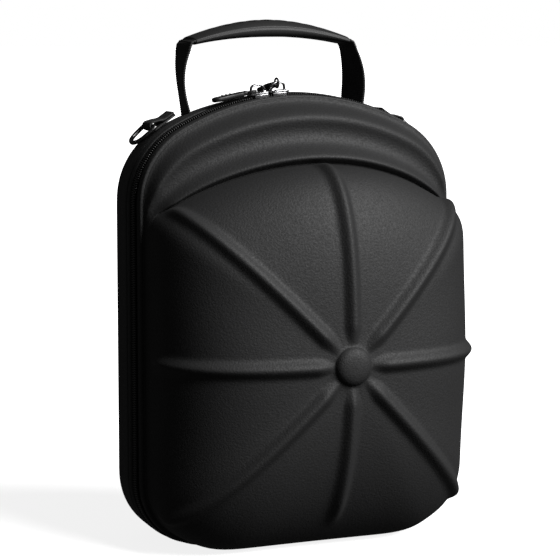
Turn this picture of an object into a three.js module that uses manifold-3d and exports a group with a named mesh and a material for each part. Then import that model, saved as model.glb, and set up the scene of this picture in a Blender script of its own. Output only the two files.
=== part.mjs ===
// Baseball cap carrier case: a moulded clamshell, standing upright and zipped shut.
// Millimetres, +Z up, the cap face looks along -Y. While it is modelled, Y = 0 is the middle
// of the zip. The finished group is moved so that its origin is under the middle of its box.
import * as THREE from "three";
import { mergeVertices } from "three/addons/utils/BufferGeometryUtils.js";
import Module from "manifold-3d";

const wasm = await Module();
wasm.setup();

// Outline of the case at the zip
const HALF_WIDTH = 108.5;
const HEIGHT = 286;
const TOP_RADIUS = 170;
const SHOULDER_RADIUS = 55;
const CORNER_RADIUS = 43;

// Zip
const COIL_WIDTH = 7.2;
const COIL_THICK = 1.8;
const COIL_SUNK = 0.4;
const TAPE_THICK = 1.2;
const TAPE_WIDTH = 6.8;
const RIM_WALL = 2.2;
const CLEAR = 0.3;

// Front shell: a welt round the rim, then a brim roll and the crown of a cap
const FRONT_WALL = 3;
const WELT_WIDTH = 6;
const WELT_PROUD = 4;
const CROWN_DEPTH = 91;
const BUTTON_HEIGHT_UP = 123.3;
const BRIM_ARCH_RADIUS = 180;
const BRIM_ARCH_TOP = 242;
const VALLEY_DEPTH = 41;
const FLANK_LIFT = 8;

// Ribs and button of the crown
const RIBS = 8;
const RIB_WIDTH = 12.6;
const RIB_HEIGHT = 4;
const BUTTON_RADIUS = 12;
const BUTTON_PROUD = 5.5;

// Rear shell: plain flank and flat back
const REAR_DEPTH = 55;
const REAR_WALL = 4.4;
const REAR_EDGE_RADIUS = 21;
const REAR_DRAFT = 3.4;

// Handle
const STRAP_SPACING = 116;
const STRAP_WIDTH = 25;
const STRAP_THICK = 2.2;
const STRAP_BACK = 34;
const STRAP_TOE_DEG = 12;
const STRAP_BOW = 4;
const GRIP_BACK = 40;
const GRIP_LENGTH = 110;
const GRIP_WIDTH = 27;
const GRIP_THICK = 11;
const GRIP_END_THICK = 5;
const GRIP_RISE = 8;
const GRIP_OVER_TOP = 32;
const SLOTS = 8;
const SLOT_LENGTH = 11;
const SLOT_WIDTH = 3.4;
const SLOT_DEPTH = 2;

// Sliders and pull tabs
const SLIDER_LENGTH = 13;
const SLIDER_WIDTH = 10;
const SLIDER_PLATE = 1.6;
const SLIDERS_MEET_X = -16.4;
const BRIDGE_HEIGHT = 4.6;
const BRIDGE_WIRE = 1.8;
const BRIDGE_REACH = 4.4;
const PULL_LENGTH = 27;
const PULL_WIDTH = 8;
const PULL_THICK = 3;
const EYE_HOLE = 2.3;
const EYE_WIRE = 1.3;
const PULL_DROOP_DEG = { left: 3, right: 12 };

// Ring tabs and D rings at the shoulders
const RING_AT_X = 85;
const RING_BACK = 25;
const RING_WIRE = 2.8;
const RING_INSIDE_WIDTH = 17;
const RING_INSIDE_DEPTH = 13;
const RING_LEAN_DEG = 6;
const RING_STEPS = 22;
const TAB_WIDTH = 14;
const TAB_THICK = 1.6;
const TAB_LENGTH = 16;

// Columns of the shells' grids, a whole number for each rib
const COLUMNS_PER_RIB = 10;
const RIB_COLUMNS = 4;
const COLUMNS = RIBS * COLUMNS_PER_RIB;

const RIM = COIL_WIDTH / 2 + 2 * CLEAR;
const BASE = RIM + WELT_WIDTH + 0.6;
const FRONT = CROWN_DEPTH + BUTTON_PROUD;

// How round the crown's profile is, by direction from the button; 2 is an ellipse
const CROWN_PROFILE = [
  { at: -90, power: 2.1 },
  { at: -45, power: 2.2 },
  { at: 0, power: 2.6 },
  { at: 45, power: 2.3 },
  { at: 90, power: 2.8 },
];

// Section of the brim from the valley beside the crown out to the rim's groove.
// across: share of the way out; roll and flank: share of the valley's height, where the
// brim is a full roll and where it has run out into the plain flank
const BRIM_SECTION = [
  { across: 0.05, roll: 1.1, flank: 0.9 },
  { across: 0.17, roll: 1.05, flank: 0.78 },
  { across: 0.3, roll: 0.7, flank: 0.67 },
  { across: 0.65, roll: 0.56, flank: 0.38 },
  { across: 0.85, roll: 0.17, flank: 0.18 },
  { across: 1, roll: 0, flank: 0 },
];

const EVA = { color: 0x17181a, roughness: 0.78, metalness: 0 };
const NYLON = { color: 0x101113, roughness: 0.5, metalness: 0 };
const WEBBING = { color: 0x131416, roughness: 0.85, metalness: 0 };
const RUBBER = { color: 0x1b1c1e, roughness: 0.55, metalness: 0 };
const GUNMETAL = { color: 0x55575a, roughness: 0.3, metalness: 1 };

const degrees = (angle) => (angle * Math.PI) / 180;
const mix = (a, b, share) => a + (b - a) * share;

function smoothStep(from, to, value) {
  const share = Math.min(Math.max((value - from) / (to - from), 0), 1);
  return share * share * (3 - 2 * share);
}

// Meshes and solids

function named(name, geometry, look) {
  const mesh = new THREE.Mesh(geometry, new THREE.MeshStandardMaterial(look));
  mesh.name = name;
  return mesh;
}

function geometryOf(points, triangles) {
  const geometry = new THREE.BufferGeometry();
  geometry.setAttribute("position", new THREE.Float32BufferAttribute(points.flat(), 3));
  geometry.setIndex(triangles.flat());
  return geometry;
}

function solidOf(geometry) {
  const bare = geometry.clone();
  bare.deleteAttribute("normal");
  bare.deleteAttribute("uv");
  const merged = mergeVertices(bare, 1e-4);
  const vertProperties = new Float32Array(merged.attributes.position.array);
  const triVerts = new Uint32Array(merged.index.array);
  return new wasm.Manifold(new wasm.Mesh({ numProp: 3, vertProperties, triVerts }));
}

function geometryFrom(solid) {
  const { vertProperties, triVerts } = solid.getMesh();
  const geometry = new THREE.BufferGeometry();
  geometry.setAttribute("position", new THREE.BufferAttribute(vertProperties.slice(), 3));
  geometry.setIndex(Array.from(triVerts));
  return geometry;
}

// Rings of points joined into a skin: each ring has as many points as the next one.
// A ring of one point is a pole.
function skin(rings, closedRound) {
  const points = [];
  const starts = rings.map((ring) => {
    points.push(...ring);
    return points.length - ring.length;
  });
  const triangles = [];
  for (let k = 0; k + 1 < rings.length; k += 1) {
    const count = Math.max(rings[k].length, rings[k + 1].length);
    const steps = closedRound ? count : count - 1;
    for (let i = 0; i < steps; i += 1) {
      const next = (i + 1) % count;
      const a = starts[k] + (rings[k].length === 1 ? 0 : i);
      const b = starts[k] + (rings[k].length === 1 ? 0 : next);
      const c = starts[k + 1] + (rings[k + 1].length === 1 ? 0 : next);
      const d = starts[k + 1] + (rings[k + 1].length === 1 ? 0 : i);
      if (a !== b) triangles.push([a, b, c]);
      if (c !== d) triangles.push([a, c, d]);
    }
  }
  return { points, triangles, starts };
}

// A solid of sections, each a closed loop of points, with flat ends
function loft(sections) {
  const { points, triangles, starts } = skin(sections, true);
  const first = THREE.ShapeUtils.triangulateShape(flatten(sections[0]), []);
  for (const [a, b, c] of first) {
    triangles.push([starts[0] + c, starts[0] + b, starts[0] + a]);
    const last = starts[starts.length - 1];
    triangles.push([last + a, last + b, last + c]);
  }
  return outward(geometryOf(points, triangles));
}

// The section's points in its own plane, for filling its flat ends
function flatten(section) {
  const origin = new THREE.Vector3(...section[0]);
  const along = new THREE.Vector3(...section[1]).sub(origin).normalize();
  const middle = new THREE.Vector3(...section[Math.floor(section.length / 2)]).sub(origin);
  const normal = new THREE.Vector3().crossVectors(along, middle).normalize();
  const up = new THREE.Vector3().crossVectors(normal, along);
  return section.map((point) => {
    const offset = new THREE.Vector3(...point).sub(origin);
    return new THREE.Vector2(offset.dot(along), offset.dot(up));
  });
}

// Turns a closed mesh's faces outward if they point in
function outward(geometry) {
  const { array } = geometry.attributes.position;
  const index = Array.from(geometry.index.array);
  const [a, b, c] = [new THREE.Vector3(), new THREE.Vector3(), new THREE.Vector3()];
  let volume = 0;
  for (let i = 0; i < index.length; i += 3) {
    a.fromArray(array, index[i] * 3);
    b.fromArray(array, index[i + 1] * 3);
    c.fromArray(array, index[i + 2] * 3);
    volume += a.dot(b.cross(c));
  }
  if (volume < 0) {
    for (let i = 0; i < index.length; i += 3) {
      [index[i + 1], index[i + 2]] = [index[i + 2], index[i + 1]];
    }
    geometry.setIndex(index);
  }
  return geometry;
}

// Outline of the case: flat bottom, round corners, straight sides, an arch of three arcs

const shoulderX = HALF_WIDTH - SHOULDER_RADIUS;
const archZ = HEIGHT - TOP_RADIUS;
const shoulderZ = archZ + Math.sqrt((TOP_RADIUS - SHOULDER_RADIUS) ** 2 - shoulderX ** 2);

// How far (x, z) lies outside the outline, or inside it if negative
function outsideBy(x, z) {
  const side = Math.abs(x);
  if (z > shoulderZ) {
    const inTopArc = side * (shoulderZ - archZ) < (z - archZ) * shoulderX;
    if (inTopArc) return Math.hypot(side, z - archZ) - TOP_RADIUS;
    return Math.hypot(side - shoulderX, z - shoulderZ) - SHOULDER_RADIUS;
  }
  const cornerX = HALF_WIDTH - CORNER_RADIUS;
  if (side > cornerX && z < CORNER_RADIUS) {
    return Math.hypot(side - cornerX, z - CORNER_RADIUS) - CORNER_RADIUS;
  }
  return Math.max(side - HALF_WIDTH, -z);
}

// Distance from the button's axis to the outline moved in by inset, at a direction
function reach(angle, inset) {
  let near = 0;
  let far = HEIGHT + HALF_WIDTH;
  for (let step = 0; step < 40; step += 1) {
    const middle = (near + far) / 2;
    const x = middle * Math.cos(angle);
    const z = BUTTON_HEIGHT_UP + middle * Math.sin(angle);
    if (outsideBy(x, z) < -inset) near = middle;
    else far = middle;
  }
  return near;
}

// A point at a direction and distance from the button's axis, at a depth in front of the zip
function onFace(angle, radius, depth) {
  return [radius * Math.cos(angle), -depth, BUTTON_HEIGHT_UP + radius * Math.sin(angle)];
}

function onOutline(angle, inset, depth) {
  return onFace(angle, reach(angle, inset), depth);
}

// Height of the case's top outline at x, for what stands on it
function topAt(x) {
  const side = Math.abs(x);
  const splitX = (TOP_RADIUS * shoulderX) / (TOP_RADIUS - SHOULDER_RADIUS);
  if (side < splitX) return archZ + Math.sqrt(TOP_RADIUS ** 2 - side ** 2);
  return shoulderZ + Math.sqrt(SHOULDER_RADIUS ** 2 - (side - shoulderX) ** 2);
}

// Direction square to the top outline at x, as an angle from +X
function topNormalAt(x) {
  const side = Math.abs(x);
  const splitX = (TOP_RADIUS * shoulderX) / (TOP_RADIUS - SHOULDER_RADIUS);
  const angle = side < splitX ? Math.acos(side / TOP_RADIUS)
    : Math.acos((side - shoulderX) / SHOULDER_RADIUS);
  return x < 0 ? Math.PI - angle : angle;
}

// Front shell

function crownPower(angle) {
  const up = THREE.MathUtils.radToDeg(Math.asin(Math.sin(angle)));
  const last = CROWN_PROFILE.length - 2;
  const found = CROWN_PROFILE.findIndex((row, i) => i <= last && up <= CROWN_PROFILE[i + 1].at);
  const row = found < 0 ? last : found;
  const [low, high] = [CROWN_PROFILE[row], CROWN_PROFILE[row + 1]];
  return mix(low.power, high.power, smoothStep(low.at, high.at, up));
}

// How far the welt stands out past the shell: it runs out along the flat bottom
function weltAt(angle) {
  return WELT_PROUD * smoothStep(-0.92, -0.8, Math.sin(angle));
}

// Where the brim's valley runs: a low arch over the crown, which ends in the flanks
function valleyAt(angle) {
  const base = reach(angle, weltAt(angle));
  const centre = BRIM_ARCH_TOP - BRIM_ARCH_RADIUS - BUTTON_HEIGHT_UP;
  const across = centre * Math.cos(angle);
  const arch = centre * Math.sin(angle) + Math.sqrt(BRIM_ARCH_RADIUS ** 2 - across ** 2);
  const flank = base - 0.1 * weltAt(angle);
  const blend = 2 * WELT_PROUD;
  const share = Math.min(Math.max(0.5 + (arch - flank) / (2 * blend), 0), 1);
  const radius = mix(arch, flank, share) - blend * share * (1 - share);
  const brim = smoothStep(0, 5 * WELT_PROUD, base - radius - WELT_PROUD / 4);
  const x = (radius * Math.cos(angle)) / (HALF_WIDTH - WELT_PROUD);
  const rise = (VALLEY_DEPTH - BASE - FLANK_LIFT) * Math.max(1 - x * x, 0) * brim;
  return { base, radius, brim, depth: BASE + FLANK_LIFT + rise };
}

// Crown's profile at a direction: points from the middle out to the valley
function crownProfile(angle) {
  const valley = valleyAt(angle);
  const power = 2 / crownPower(angle);
  const profile = [];
  const steps = 60;
  for (let i = 0; i <= steps; i += 1) {
    const turn = (Math.PI / 2) * (1 - i / steps);
    const radius = valley.radius * Math.max(Math.cos(turn), 0) ** power;
    const depth = mix(valley.depth, CROWN_DEPTH, Math.max(Math.sin(turn), 0) ** power);
    profile.push([i === 0 ? 0 : radius, depth]);
  }
  return profile;
}

// The point at a share of a profile, measured by its length and by how far it has turned,
// so that even shares lie closer together round its bend
function alongProfile(profile, share) {
  const lengths = [0];
  const bendLength = 0.35 * CROWN_DEPTH;
  let heading = 0;
  for (let i = 1; i < profile.length; i += 1) {
    const [r0, d0] = profile[i - 1];
    const [r1, d1] = profile[i];
    const next = Math.atan2(d0 - d1, r1 - r0);
    const step = Math.hypot(r1 - r0, d1 - d0) + bendLength * Math.abs(next - heading);
    lengths.push(lengths[i - 1] + step);
    heading = next;
  }
  const want = share * lengths[lengths.length - 1];
  let i = 1;
  while (i < profile.length - 1 && lengths[i] < want) i += 1;
  const part = (want - lengths[i - 1]) / (lengths[i] - lengths[i - 1]);
  return [mix(profile[i - 1][0], profile[i][0], part), mix(profile[i - 1][1], profile[i][1], part)];
}

// Smooth face of the front shell. place 0 is the button's axis, 1 the valley, 2 the groove.
function faceAt(angle, place) {
  if (place <= 1) return alongProfile(crownProfile(angle), place);
  const valley = valleyAt(angle);
  const rows = [{ across: 0, roll: 1, flank: 1 }, ...BRIM_SECTION];
  const at = Math.min((place - 1) * BRIM_SECTION.length, BRIM_SECTION.length - 1e-9);
  const low = rows[Math.floor(at)];
  const high = rows[Math.floor(at) + 1];
  const part = at - Math.floor(at);
  const share = (row) => mix(row.flank, row.roll, valley.brim);
  const across = mix(low.across, high.across, part);
  const rise = mix(share(low), share(high), part);
  return [mix(valley.radius, valley.base, across), BASE + (valley.depth - BASE) * rise];
}

function facePoint(angle, place) {
  const [radius, depth] = faceAt(angle, place);
  return new THREE.Vector3(...onFace(angle, radius, depth));
}

// The face's direction outward, from four points round it
function faceNormal(angle, place) {
  const turn = 0.004;
  const step = 0.004;
  const round = facePoint(angle + turn, place).sub(facePoint(angle - turn, place));
  const out = facePoint(angle, place + step).sub(facePoint(angle, place - step));
  return out.cross(round).normalize();
}

// Height of the ribs over the crown: a round back with soft feet, fading out at its end,
// which comes sooner toward the bottom, as that one is flat to stand on
function ribOver(angle, place, radius) {
  const apart = (2 * Math.PI) / RIBS;
  const off = angle - apart * Math.round(angle / apart);
  const across = Math.abs(radius * Math.sin(off)) / (RIB_WIDTH / 2);
  if (across >= 1) return 0;
  const back = 0.5 + 0.5 * Math.cos(Math.PI * across);
  const end = mix(0.5, 0.84, weltAt(angle) / WELT_PROUD);
  return RIB_HEIGHT * back ** 0.8 * (1 - smoothStep(end, end + 0.2, place));
}

// Direction of a column at a place: five columns follow each rib at a steady width, and
// all spread out evenly on the way to the rim
function columnAngle(column, place) {
  const apart = (2 * Math.PI) / RIBS;
  const rib = Math.round(column / COLUMNS_PER_RIB);
  const off = column - rib * COLUMNS_PER_RIB;
  const even = (off * apart) / COLUMNS_PER_RIB;
  const [radius] = faceAt(rib * apart, Math.min(place, 1));
  const half = RIB_COLUMNS / 2;
  const foot = Math.min(RIB_WIDTH / 2 / half / Math.max(radius, 1), apart / COLUMNS_PER_RIB);
  const near = Math.min(Math.abs(off), half) * foot;
  const between = (apart / 2 - half * foot) / (COLUMNS_PER_RIB / 2 - half);
  const wide = Math.max(Math.abs(off) - half, 0) * between;
  const ribbed = Math.sign(off) * (near + wide);
  return rib * apart + mix(ribbed, even, smoothStep(0.9, 1.6, place));
}

function ringOf(pointAt) {
  return Array.from({ length: COLUMNS }, (_, column) => pointAt(column));
}

function shellRing(place, inward) {
  return ringOf((column) => {
    const angle = columnAngle(column, place);
    const point = facePoint(angle, place);
    const radius = Math.hypot(point.x, point.z - BUTTON_HEIGHT_UP);
    const off = inward > 0 ? -inward : ribOver(angle, place, radius);
    return point.addScaledVector(faceNormal(angle, place), off).toArray();
  });
}

function rimRing(inset, depth) {
  return ringOf((column) => onOutline(columnAngle(column, 2), inset, depth));
}

// A ring on the welt's inner side, share of the welt in from the rim, and inward of that
function weltRing(share, depth, inward = 0) {
  return ringOf((column) => {
    const angle = columnAngle(column, 2);
    return onOutline(angle, share * weltAt(angle) + inward, depth);
  });
}

function buttonRing(radius, proud) {
  return ringOf((column) => {
    const angle = columnAngle(column, 0.1);
    return onFace(angle, radius, CROWN_DEPTH + proud);
  });
}

function frontShell() {
  const crownStart = 0.11;
  const crownSteps = 12;
  const outer = [[onFace(0, 0, FRONT)]];
  outer.push(buttonRing(0.75 * BUTTON_RADIUS, 0.96 * BUTTON_PROUD));
  outer.push(buttonRing(BUTTON_RADIUS, 0.7 * BUTTON_PROUD));
  outer.push(buttonRing(1.06 * BUTTON_RADIUS, 0.3 * BUTTON_PROUD));
  for (let i = 0; i <= crownSteps; i += 1) {
    outer.push(shellRing(mix(crownStart, 1, i / crownSteps), 0));
  }
  for (let i = 1; i <= BRIM_SECTION.length; i += 1) {
    outer.push(shellRing(1 + i / BRIM_SECTION.length, 0));
  }
  outer.pop();
  outer.push(weltRing(1, BASE));
  outer.push(weltRing(0.22, RIM + WELT_WIDTH));
  outer.push(rimRing(0, RIM + 0.8 * WELT_WIDTH));
  outer.push(rimRing(0, RIM));
  const inner = [rimRing(RIM_WALL, RIM), rimRing(RIM_WALL, RIM + 0.6 * WELT_WIDTH)];
  inner.push(weltRing(1, BASE - 0.2 * WELT_WIDTH, FRONT_WALL));
  for (const place of [1.5, 1, 0.8, 0.6, 0.35]) inner.push(shellRing(place, FRONT_WALL));
  inner.push([onFace(0, 0, CROWN_DEPTH - FRONT_WALL)]);
  const { points, triangles } = skin([...outer, ...inner], true);
  return outward(geometryOf(points, triangles));
}

// Rear shell

// How far the rear flank has drawn in at a depth behind the zip; the bottom stays flat
function draftAt(angle, depth) {
  const level = smoothStep(-0.9, -0.6, Math.sin(angle));
  const rim = RIM + WELT_WIDTH;
  return REAR_DRAFT * level * Math.max(depth - rim, 0) / (REAR_DEPTH - REAR_EDGE_RADIUS - rim);
}

function rearRing(depth, extraInset) {
  return ringOf((column) => {
    const angle = columnAngle(column, 2);
    const straight = REAR_DEPTH - REAR_EDGE_RADIUS;
    const draft = draftAt(angle, Math.min(depth, straight));
    return onOutline(angle, draft + extraInset, -depth);
  });
}

function rearShell() {
  const straight = REAR_DEPTH - REAR_EDGE_RADIUS;
  const edgeSteps = 4;
  const outer = [[onFace(0, 0, -REAR_DEPTH)]];
  for (let i = 0; i <= edgeSteps; i += 1) {
    const turn = ((Math.PI / 2) * i) / edgeSteps;
    const inset = REAR_EDGE_RADIUS * (1 - Math.sin(turn));
    outer.push(rearRing(straight + REAR_EDGE_RADIUS * Math.cos(turn), inset));
  }
  outer.push(rearRing(0.5 * straight, 0));
  outer.push(rearRing(RIM, 0));
  const inner = [rearRing(RIM, RIM_WALL), rearRing(RIM + 0.6 * WELT_WIDTH, RIM_WALL)];
  inner.push(rearRing(RIM + WELT_WIDTH, REAR_WALL));
  const hollowRadius = REAR_EDGE_RADIUS - REAR_WALL;
  for (let i = 2; i >= 0; i -= 1) {
    const turn = ((Math.PI / 2) * i) / 2;
    const inset = REAR_WALL + hollowRadius * (1 - Math.sin(turn));
    inner.push(rearRing(straight + hollowRadius * Math.cos(turn), inset));
  }
  inner.push([onFace(0, 0, REAR_WALL - REAR_DEPTH)]);
  const { points, triangles } = skin([...outer, ...inner], true);
  return outward(geometryOf(points, triangles));
}

// The rear shell's whole outer form, grown by a clearance, to fit what stands on it
function rearForm(clear) {
  const straight = REAR_DEPTH - REAR_EDGE_RADIUS;
  const rings = [[onFace(0, 0, -REAR_DEPTH - clear)]];
  for (let i = 0; i <= 4; i += 1) {
    const turn = ((Math.PI / 2) * i) / 4;
    const inset = REAR_EDGE_RADIUS * (1 - Math.sin(turn));
    const depth = straight + (REAR_EDGE_RADIUS + clear) * Math.cos(turn);
    rings.push(rearRing(depth, inset - clear * Math.sin(turn)));
  }
  rings.push(rearRing(0.5 * straight, -clear));
  rings.push(rearRing(RIM, -clear));
  rings.push([onFace(0, 0, -RIM)]);
  const { points, triangles } = skin(rings, true);
  return solidOf(outward(geometryOf(points, triangles)));
}

// Zip: bands that follow the outline over a run of columns

const HINGE_COLUMNS = Math.round(0.08 * COLUMNS);
const BOTTOM_COLUMN = 0.75 * COLUMNS;

function bandAlong(first, last, insets, depths, gap) {
  const sections = [];
  for (let column = first; column <= last; column += 1) {
    const trim = column === first ? gap : column === last ? -gap : 0;
    const angle = (2 * Math.PI * (column + trim)) / COLUMNS;
    sections.push([
      onOutline(angle, insets[0], depths[0]),
      onOutline(angle, insets[0], depths[1]),
      onOutline(angle, insets[1], depths[1]),
      onOutline(angle, insets[1], depths[0]),
    ]);
  }
  return loft(sections);
}

const tapeInsets = [RIM_WALL + CLEAR, RIM_WALL + CLEAR + TAPE_THICK];
const zipFirst = BOTTOM_COLUMN + HINGE_COLUMNS - COLUMNS;
const zipLast = BOTTOM_COLUMN - HINGE_COLUMNS;

function zipTape(side) {
  return bandAlong(zipFirst, zipLast, tapeInsets, [side * CLEAR, side * (CLEAR + TAPE_WIDTH)], 0);
}

function zipCoil() {
  const insets = [COIL_SUNK, COIL_SUNK + COIL_THICK];
  return bandAlong(zipFirst, zipLast, insets, [-COIL_WIDTH / 2, COIL_WIDTH / 2], 0);
}

function hingeStrip() {
  const half = CLEAR + TAPE_WIDTH;
  const gap = 0.06;
  return bandAlong(zipLast, zipFirst + COLUMNS, tapeInsets, [-half, half], gap);
}

// Small forms

// A wire of a given diameter along points, with round section
function wireAlong(points, diameter, closed, steps = 2 * points.length) {
  const shape = new THREE.Shape();
  shape.absarc(0, 0, diameter / 2, 0, 2 * Math.PI, false);
  const path = new THREE.CatmullRomCurve3(points, closed, "catmullrom", 0.3);
  return new THREE.ExtrudeGeometry(shape, { steps, curveSegments: 3, extrudePath: path });
}

// Sliders: two plates about the coil, a post between, and the bridge that holds the pull.
// Made with the travel along X, the coil's outer face at Z = 0.
function sliderForm() {
  const half = SLIDER_WIDTH / 2;
  const outline = new THREE.Shape();
  outline.moveTo(-SLIDER_LENGTH / 2, -0.7 * half);
  outline.lineTo(0.1 * SLIDER_LENGTH, -half);
  outline.lineTo(SLIDER_LENGTH / 2, -0.8 * half);
  outline.lineTo(SLIDER_LENGTH / 2, 0.8 * half);
  outline.lineTo(0.1 * SLIDER_LENGTH, half);
  outline.lineTo(-SLIDER_LENGTH / 2, 0.7 * half);
  outline.closePath();
  const plate = new THREE.ExtrudeGeometry(outline, { depth: SLIDER_PLATE, bevelEnabled: false });
  plate.translate(0, 0, CLEAR);
  const top = CLEAR + SLIDER_PLATE;
  const bridge = [
    new THREE.Vector3(-BRIDGE_REACH, 0, top - 0.4 * SLIDER_PLATE),
    new THREE.Vector3(-BRIDGE_REACH, 0, top + 0.55 * BRIDGE_HEIGHT),
    new THREE.Vector3(-0.6 * BRIDGE_REACH, 0, top + BRIDGE_HEIGHT),
    new THREE.Vector3(0.6 * BRIDGE_REACH, 0, top + BRIDGE_HEIGHT),
    new THREE.Vector3(BRIDGE_REACH, 0, top + 0.55 * BRIDGE_HEIGHT),
    new THREE.Vector3(BRIDGE_REACH, 0, top - 0.4 * SLIDER_PLATE),
  ];
  return geometryFrom(solidOf(plate).add(solidOf(wireAlong(bridge, BRIDGE_WIRE, false))));
}

// Pull tab along -X from its eye at the origin. The eye lies flat with the tab, or stands
// on edge where the tab's soft neck has a quarter turn.
function pullForm(onEdge) {
  const eye = new THREE.Shape();
  eye.absarc(0, 0, EYE_HOLE + EYE_WIRE, 0, 2 * Math.PI, false);
  const hole = new THREE.Path();
  hole.absarc(0, 0, EYE_HOLE, 0, 2 * Math.PI, true);
  eye.holes.push(hole);
  const options = { depth: EYE_WIRE, bevelEnabled: false, curveSegments: 7 };
  const ring = new THREE.ExtrudeGeometry(eye, options).translate(0, 0, -EYE_WIRE / 2);
  if (onEdge) ring.rotateX(Math.PI / 2);
  const half = PULL_WIDTH / 2;
  const neck = -EYE_HOLE - EYE_WIRE / 2;
  const tab = new THREE.Shape();
  tab.moveTo(neck, -0.5 * half);
  tab.lineTo(neck, 0.5 * half);
  tab.lineTo(neck - half, half);
  tab.lineTo(-PULL_LENGTH + half, half);
  tab.absarc(-PULL_LENGTH + half, 0, half, Math.PI / 2, (3 * Math.PI) / 2, false);
  tab.lineTo(neck - half, -half);
  tab.closePath();
  const tabOptions = { depth: PULL_THICK, bevelEnabled: false, curveSegments: 8 };
  const body = new THREE.ExtrudeGeometry(tab, tabOptions).translate(0, 0, -PULL_THICK / 2);
  return geometryFrom(solidOf(body).add(solidOf(ring)));
}

const sliderX = {
  left: SLIDERS_MEET_X - SLIDER_LENGTH / 2 - CLEAR,
  right: SLIDERS_MEET_X + SLIDER_LENGTH / 2 + CLEAR,
};

// A frame on the zip's top at x: local X along the zip, local Z outward. A slider's plate,
// CLEAR above it, clears the coil and the shells' rims beside the coil.
function onZip(x) {
  const frame = new THREE.Group();
  const normal = topNormalAt(x);
  const depth = Math.min(COIL_SUNK, CLEAR / 2);
  frame.position.set(x - depth * Math.cos(normal), 0, topAt(x) - depth * Math.sin(normal));
  frame.rotation.y = Math.PI / 2 - normal;
  return frame;
}

function zipSliders() {
  const set = new THREE.Group();
  for (const side of ["left", "right"]) {
    const frame = onZip(sliderX[side]);
    const slider = named(`zip_slider_${side}`, sliderForm(), GUNMETAL);
    if (side === "right") slider.rotation.z = Math.PI;
    frame.add(slider);
    frame.add(zipPull(side));
    set.add(frame);
  }
  return set;
}

// The left pull lies along the zip with the bridge's leg through its eye. The right one
// hangs back over the rear shell from the bridge's bar.
function zipPull(side) {
  const onEdge = side === "right";
  const pull = named(`zip_pull_${side}`, pullForm(onEdge), RUBBER);
  const plateTop = CLEAR + SLIDER_PLATE;
  const droop = degrees(PULL_DROOP_DEG[side]);
  if (onEdge) {
    const slack = EYE_HOLE - BRIDGE_WIRE / 2 - CLEAR;
    const bar = plateTop + BRIDGE_HEIGHT;
    pull.position.set(0, slack * Math.cos(droop), bar - slack * Math.sin(droop));
    pull.rotation.set(-droop, 0, -Math.PI / 2);
  } else {
    pull.position.set(-BRIDGE_REACH, 0, plateTop + CLEAR + EYE_WIRE / 2);
    pull.rotation.y = -droop;
  }
  return pull;
}

// Handle

const gripTop = HEIGHT + GRIP_OVER_TOP;

// The grip's middle line at a share from -1 to 1 of its half length
function gripLine(share) {
  return [
    (share * GRIP_LENGTH) / 2,
    GRIP_BACK,
    gripTop + GRIP_RISE * (1 - share * share),
  ];
}

// Section of the grip: flat underside, straight lower sides, crowned top
const GRIP_SECTION = [
  { across: -0.36, up: -0.5 },
  { across: 0.36, up: -0.5 },
  { across: 0.47, up: -0.36 },
  { across: 0.5, up: -0.1 },
  { across: 0.47, up: 0.12 },
  { across: 0.3, up: 0.38 },
  { across: 0.1, up: 0.5 },
  { across: -0.1, up: 0.5 },
  { across: -0.3, up: 0.38 },
  { across: -0.47, up: 0.12 },
  { across: -0.5, up: -0.1 },
  { across: -0.47, up: -0.36 },
];

function gripForm() {
  const sections = [];
  const steps = 14;
  for (let i = 0; i <= steps; i += 1) {
    const share = -1 + (2 * i) / steps;
    const [x, y, z] = gripLine(share);
    const thick = mix(GRIP_THICK, GRIP_END_THICK, Math.abs(share) ** 1.7);
    const wide = mix(GRIP_WIDTH, STRAP_WIDTH + 1, smoothStep(0.3, 1, Math.abs(share)));
    sections.push(GRIP_SECTION.map((row) => [x, y + row.across * wide, z + row.up * thick]));
  }
  let grip = solidOf(loft(sections));
  for (let i = 0; i < SLOTS; i += 1) grip = grip.subtract(solidOf(slotAt(i)));
  return geometryFrom(grip);
}

// One slanted slot in the grip's top
function slotAt(number) {
  const share = mix(-0.58, 0.58, number / (SLOTS - 1));
  const [x, y, z] = gripLine(share);
  const thick = mix(GRIP_THICK, GRIP_END_THICK, Math.abs(share) ** 1.7);
  const slot = new THREE.Shape();
  const half = (SLOT_LENGTH - SLOT_WIDTH) / 2;
  slot.absarc(0, half, SLOT_WIDTH / 2, 0, Math.PI, false);
  slot.absarc(0, -half, SLOT_WIDTH / 2, Math.PI, 2 * Math.PI, false);
  const options = { depth: 2 * SLOT_DEPTH, bevelEnabled: false, curveSegments: 3 };
  const geometry = new THREE.ExtrudeGeometry(slot, options);
  geometry.rotateZ(degrees(38));
  return geometry.translate(x, y, z + thick / 2 - SLOT_DEPTH);
}

// Strap from the rear shell's shoulder, bowed outward, to the grip's end
function strapForm(side) {
  const foot = side * (STRAP_SPACING / 2);
  const end = side * (GRIP_LENGTH / 2 + CLEAR + STRAP_THICK / 2);
  const base = topAt(foot) - REAR_DRAFT;
  const low = base - REAR_WALL - REAR_DRAFT;
  const high = gripTop;
  const steps = 12;
  const sections = [];
  for (let i = 0; i <= steps; i += 1) {
    const share = i / steps;
    const bow = STRAP_BOW * Math.sin(Math.PI * share ** 1.2);
    const x = mix(foot, end, share) + side * bow;
    const y = mix(STRAP_BACK, GRIP_BACK, share);
    const z = mix(low, high, share);
    const toe = side * degrees(STRAP_TOE_DEG) * Math.sin(Math.PI * Math.min(share + 0.15, 1));
    const lean = new THREE.Vector3(-Math.sin(toe), Math.cos(toe), 0);
    const across = new THREE.Vector3(lean.y, -lean.x, 0);
    const corner = (w, t) => new THREE.Vector3(x, y, z)
      .addScaledVector(lean, (w * STRAP_WIDTH) / 2)
      .addScaledVector(across, (t * STRAP_THICK) / 2).toArray();
    sections.push([corner(-1, -1), corner(1, -1), corner(1, 1), corner(-1, 1)]);
  }
  return geometryFrom(solidOf(loft(sections)).subtract(rearForm(CLEAR)));
}

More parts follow.
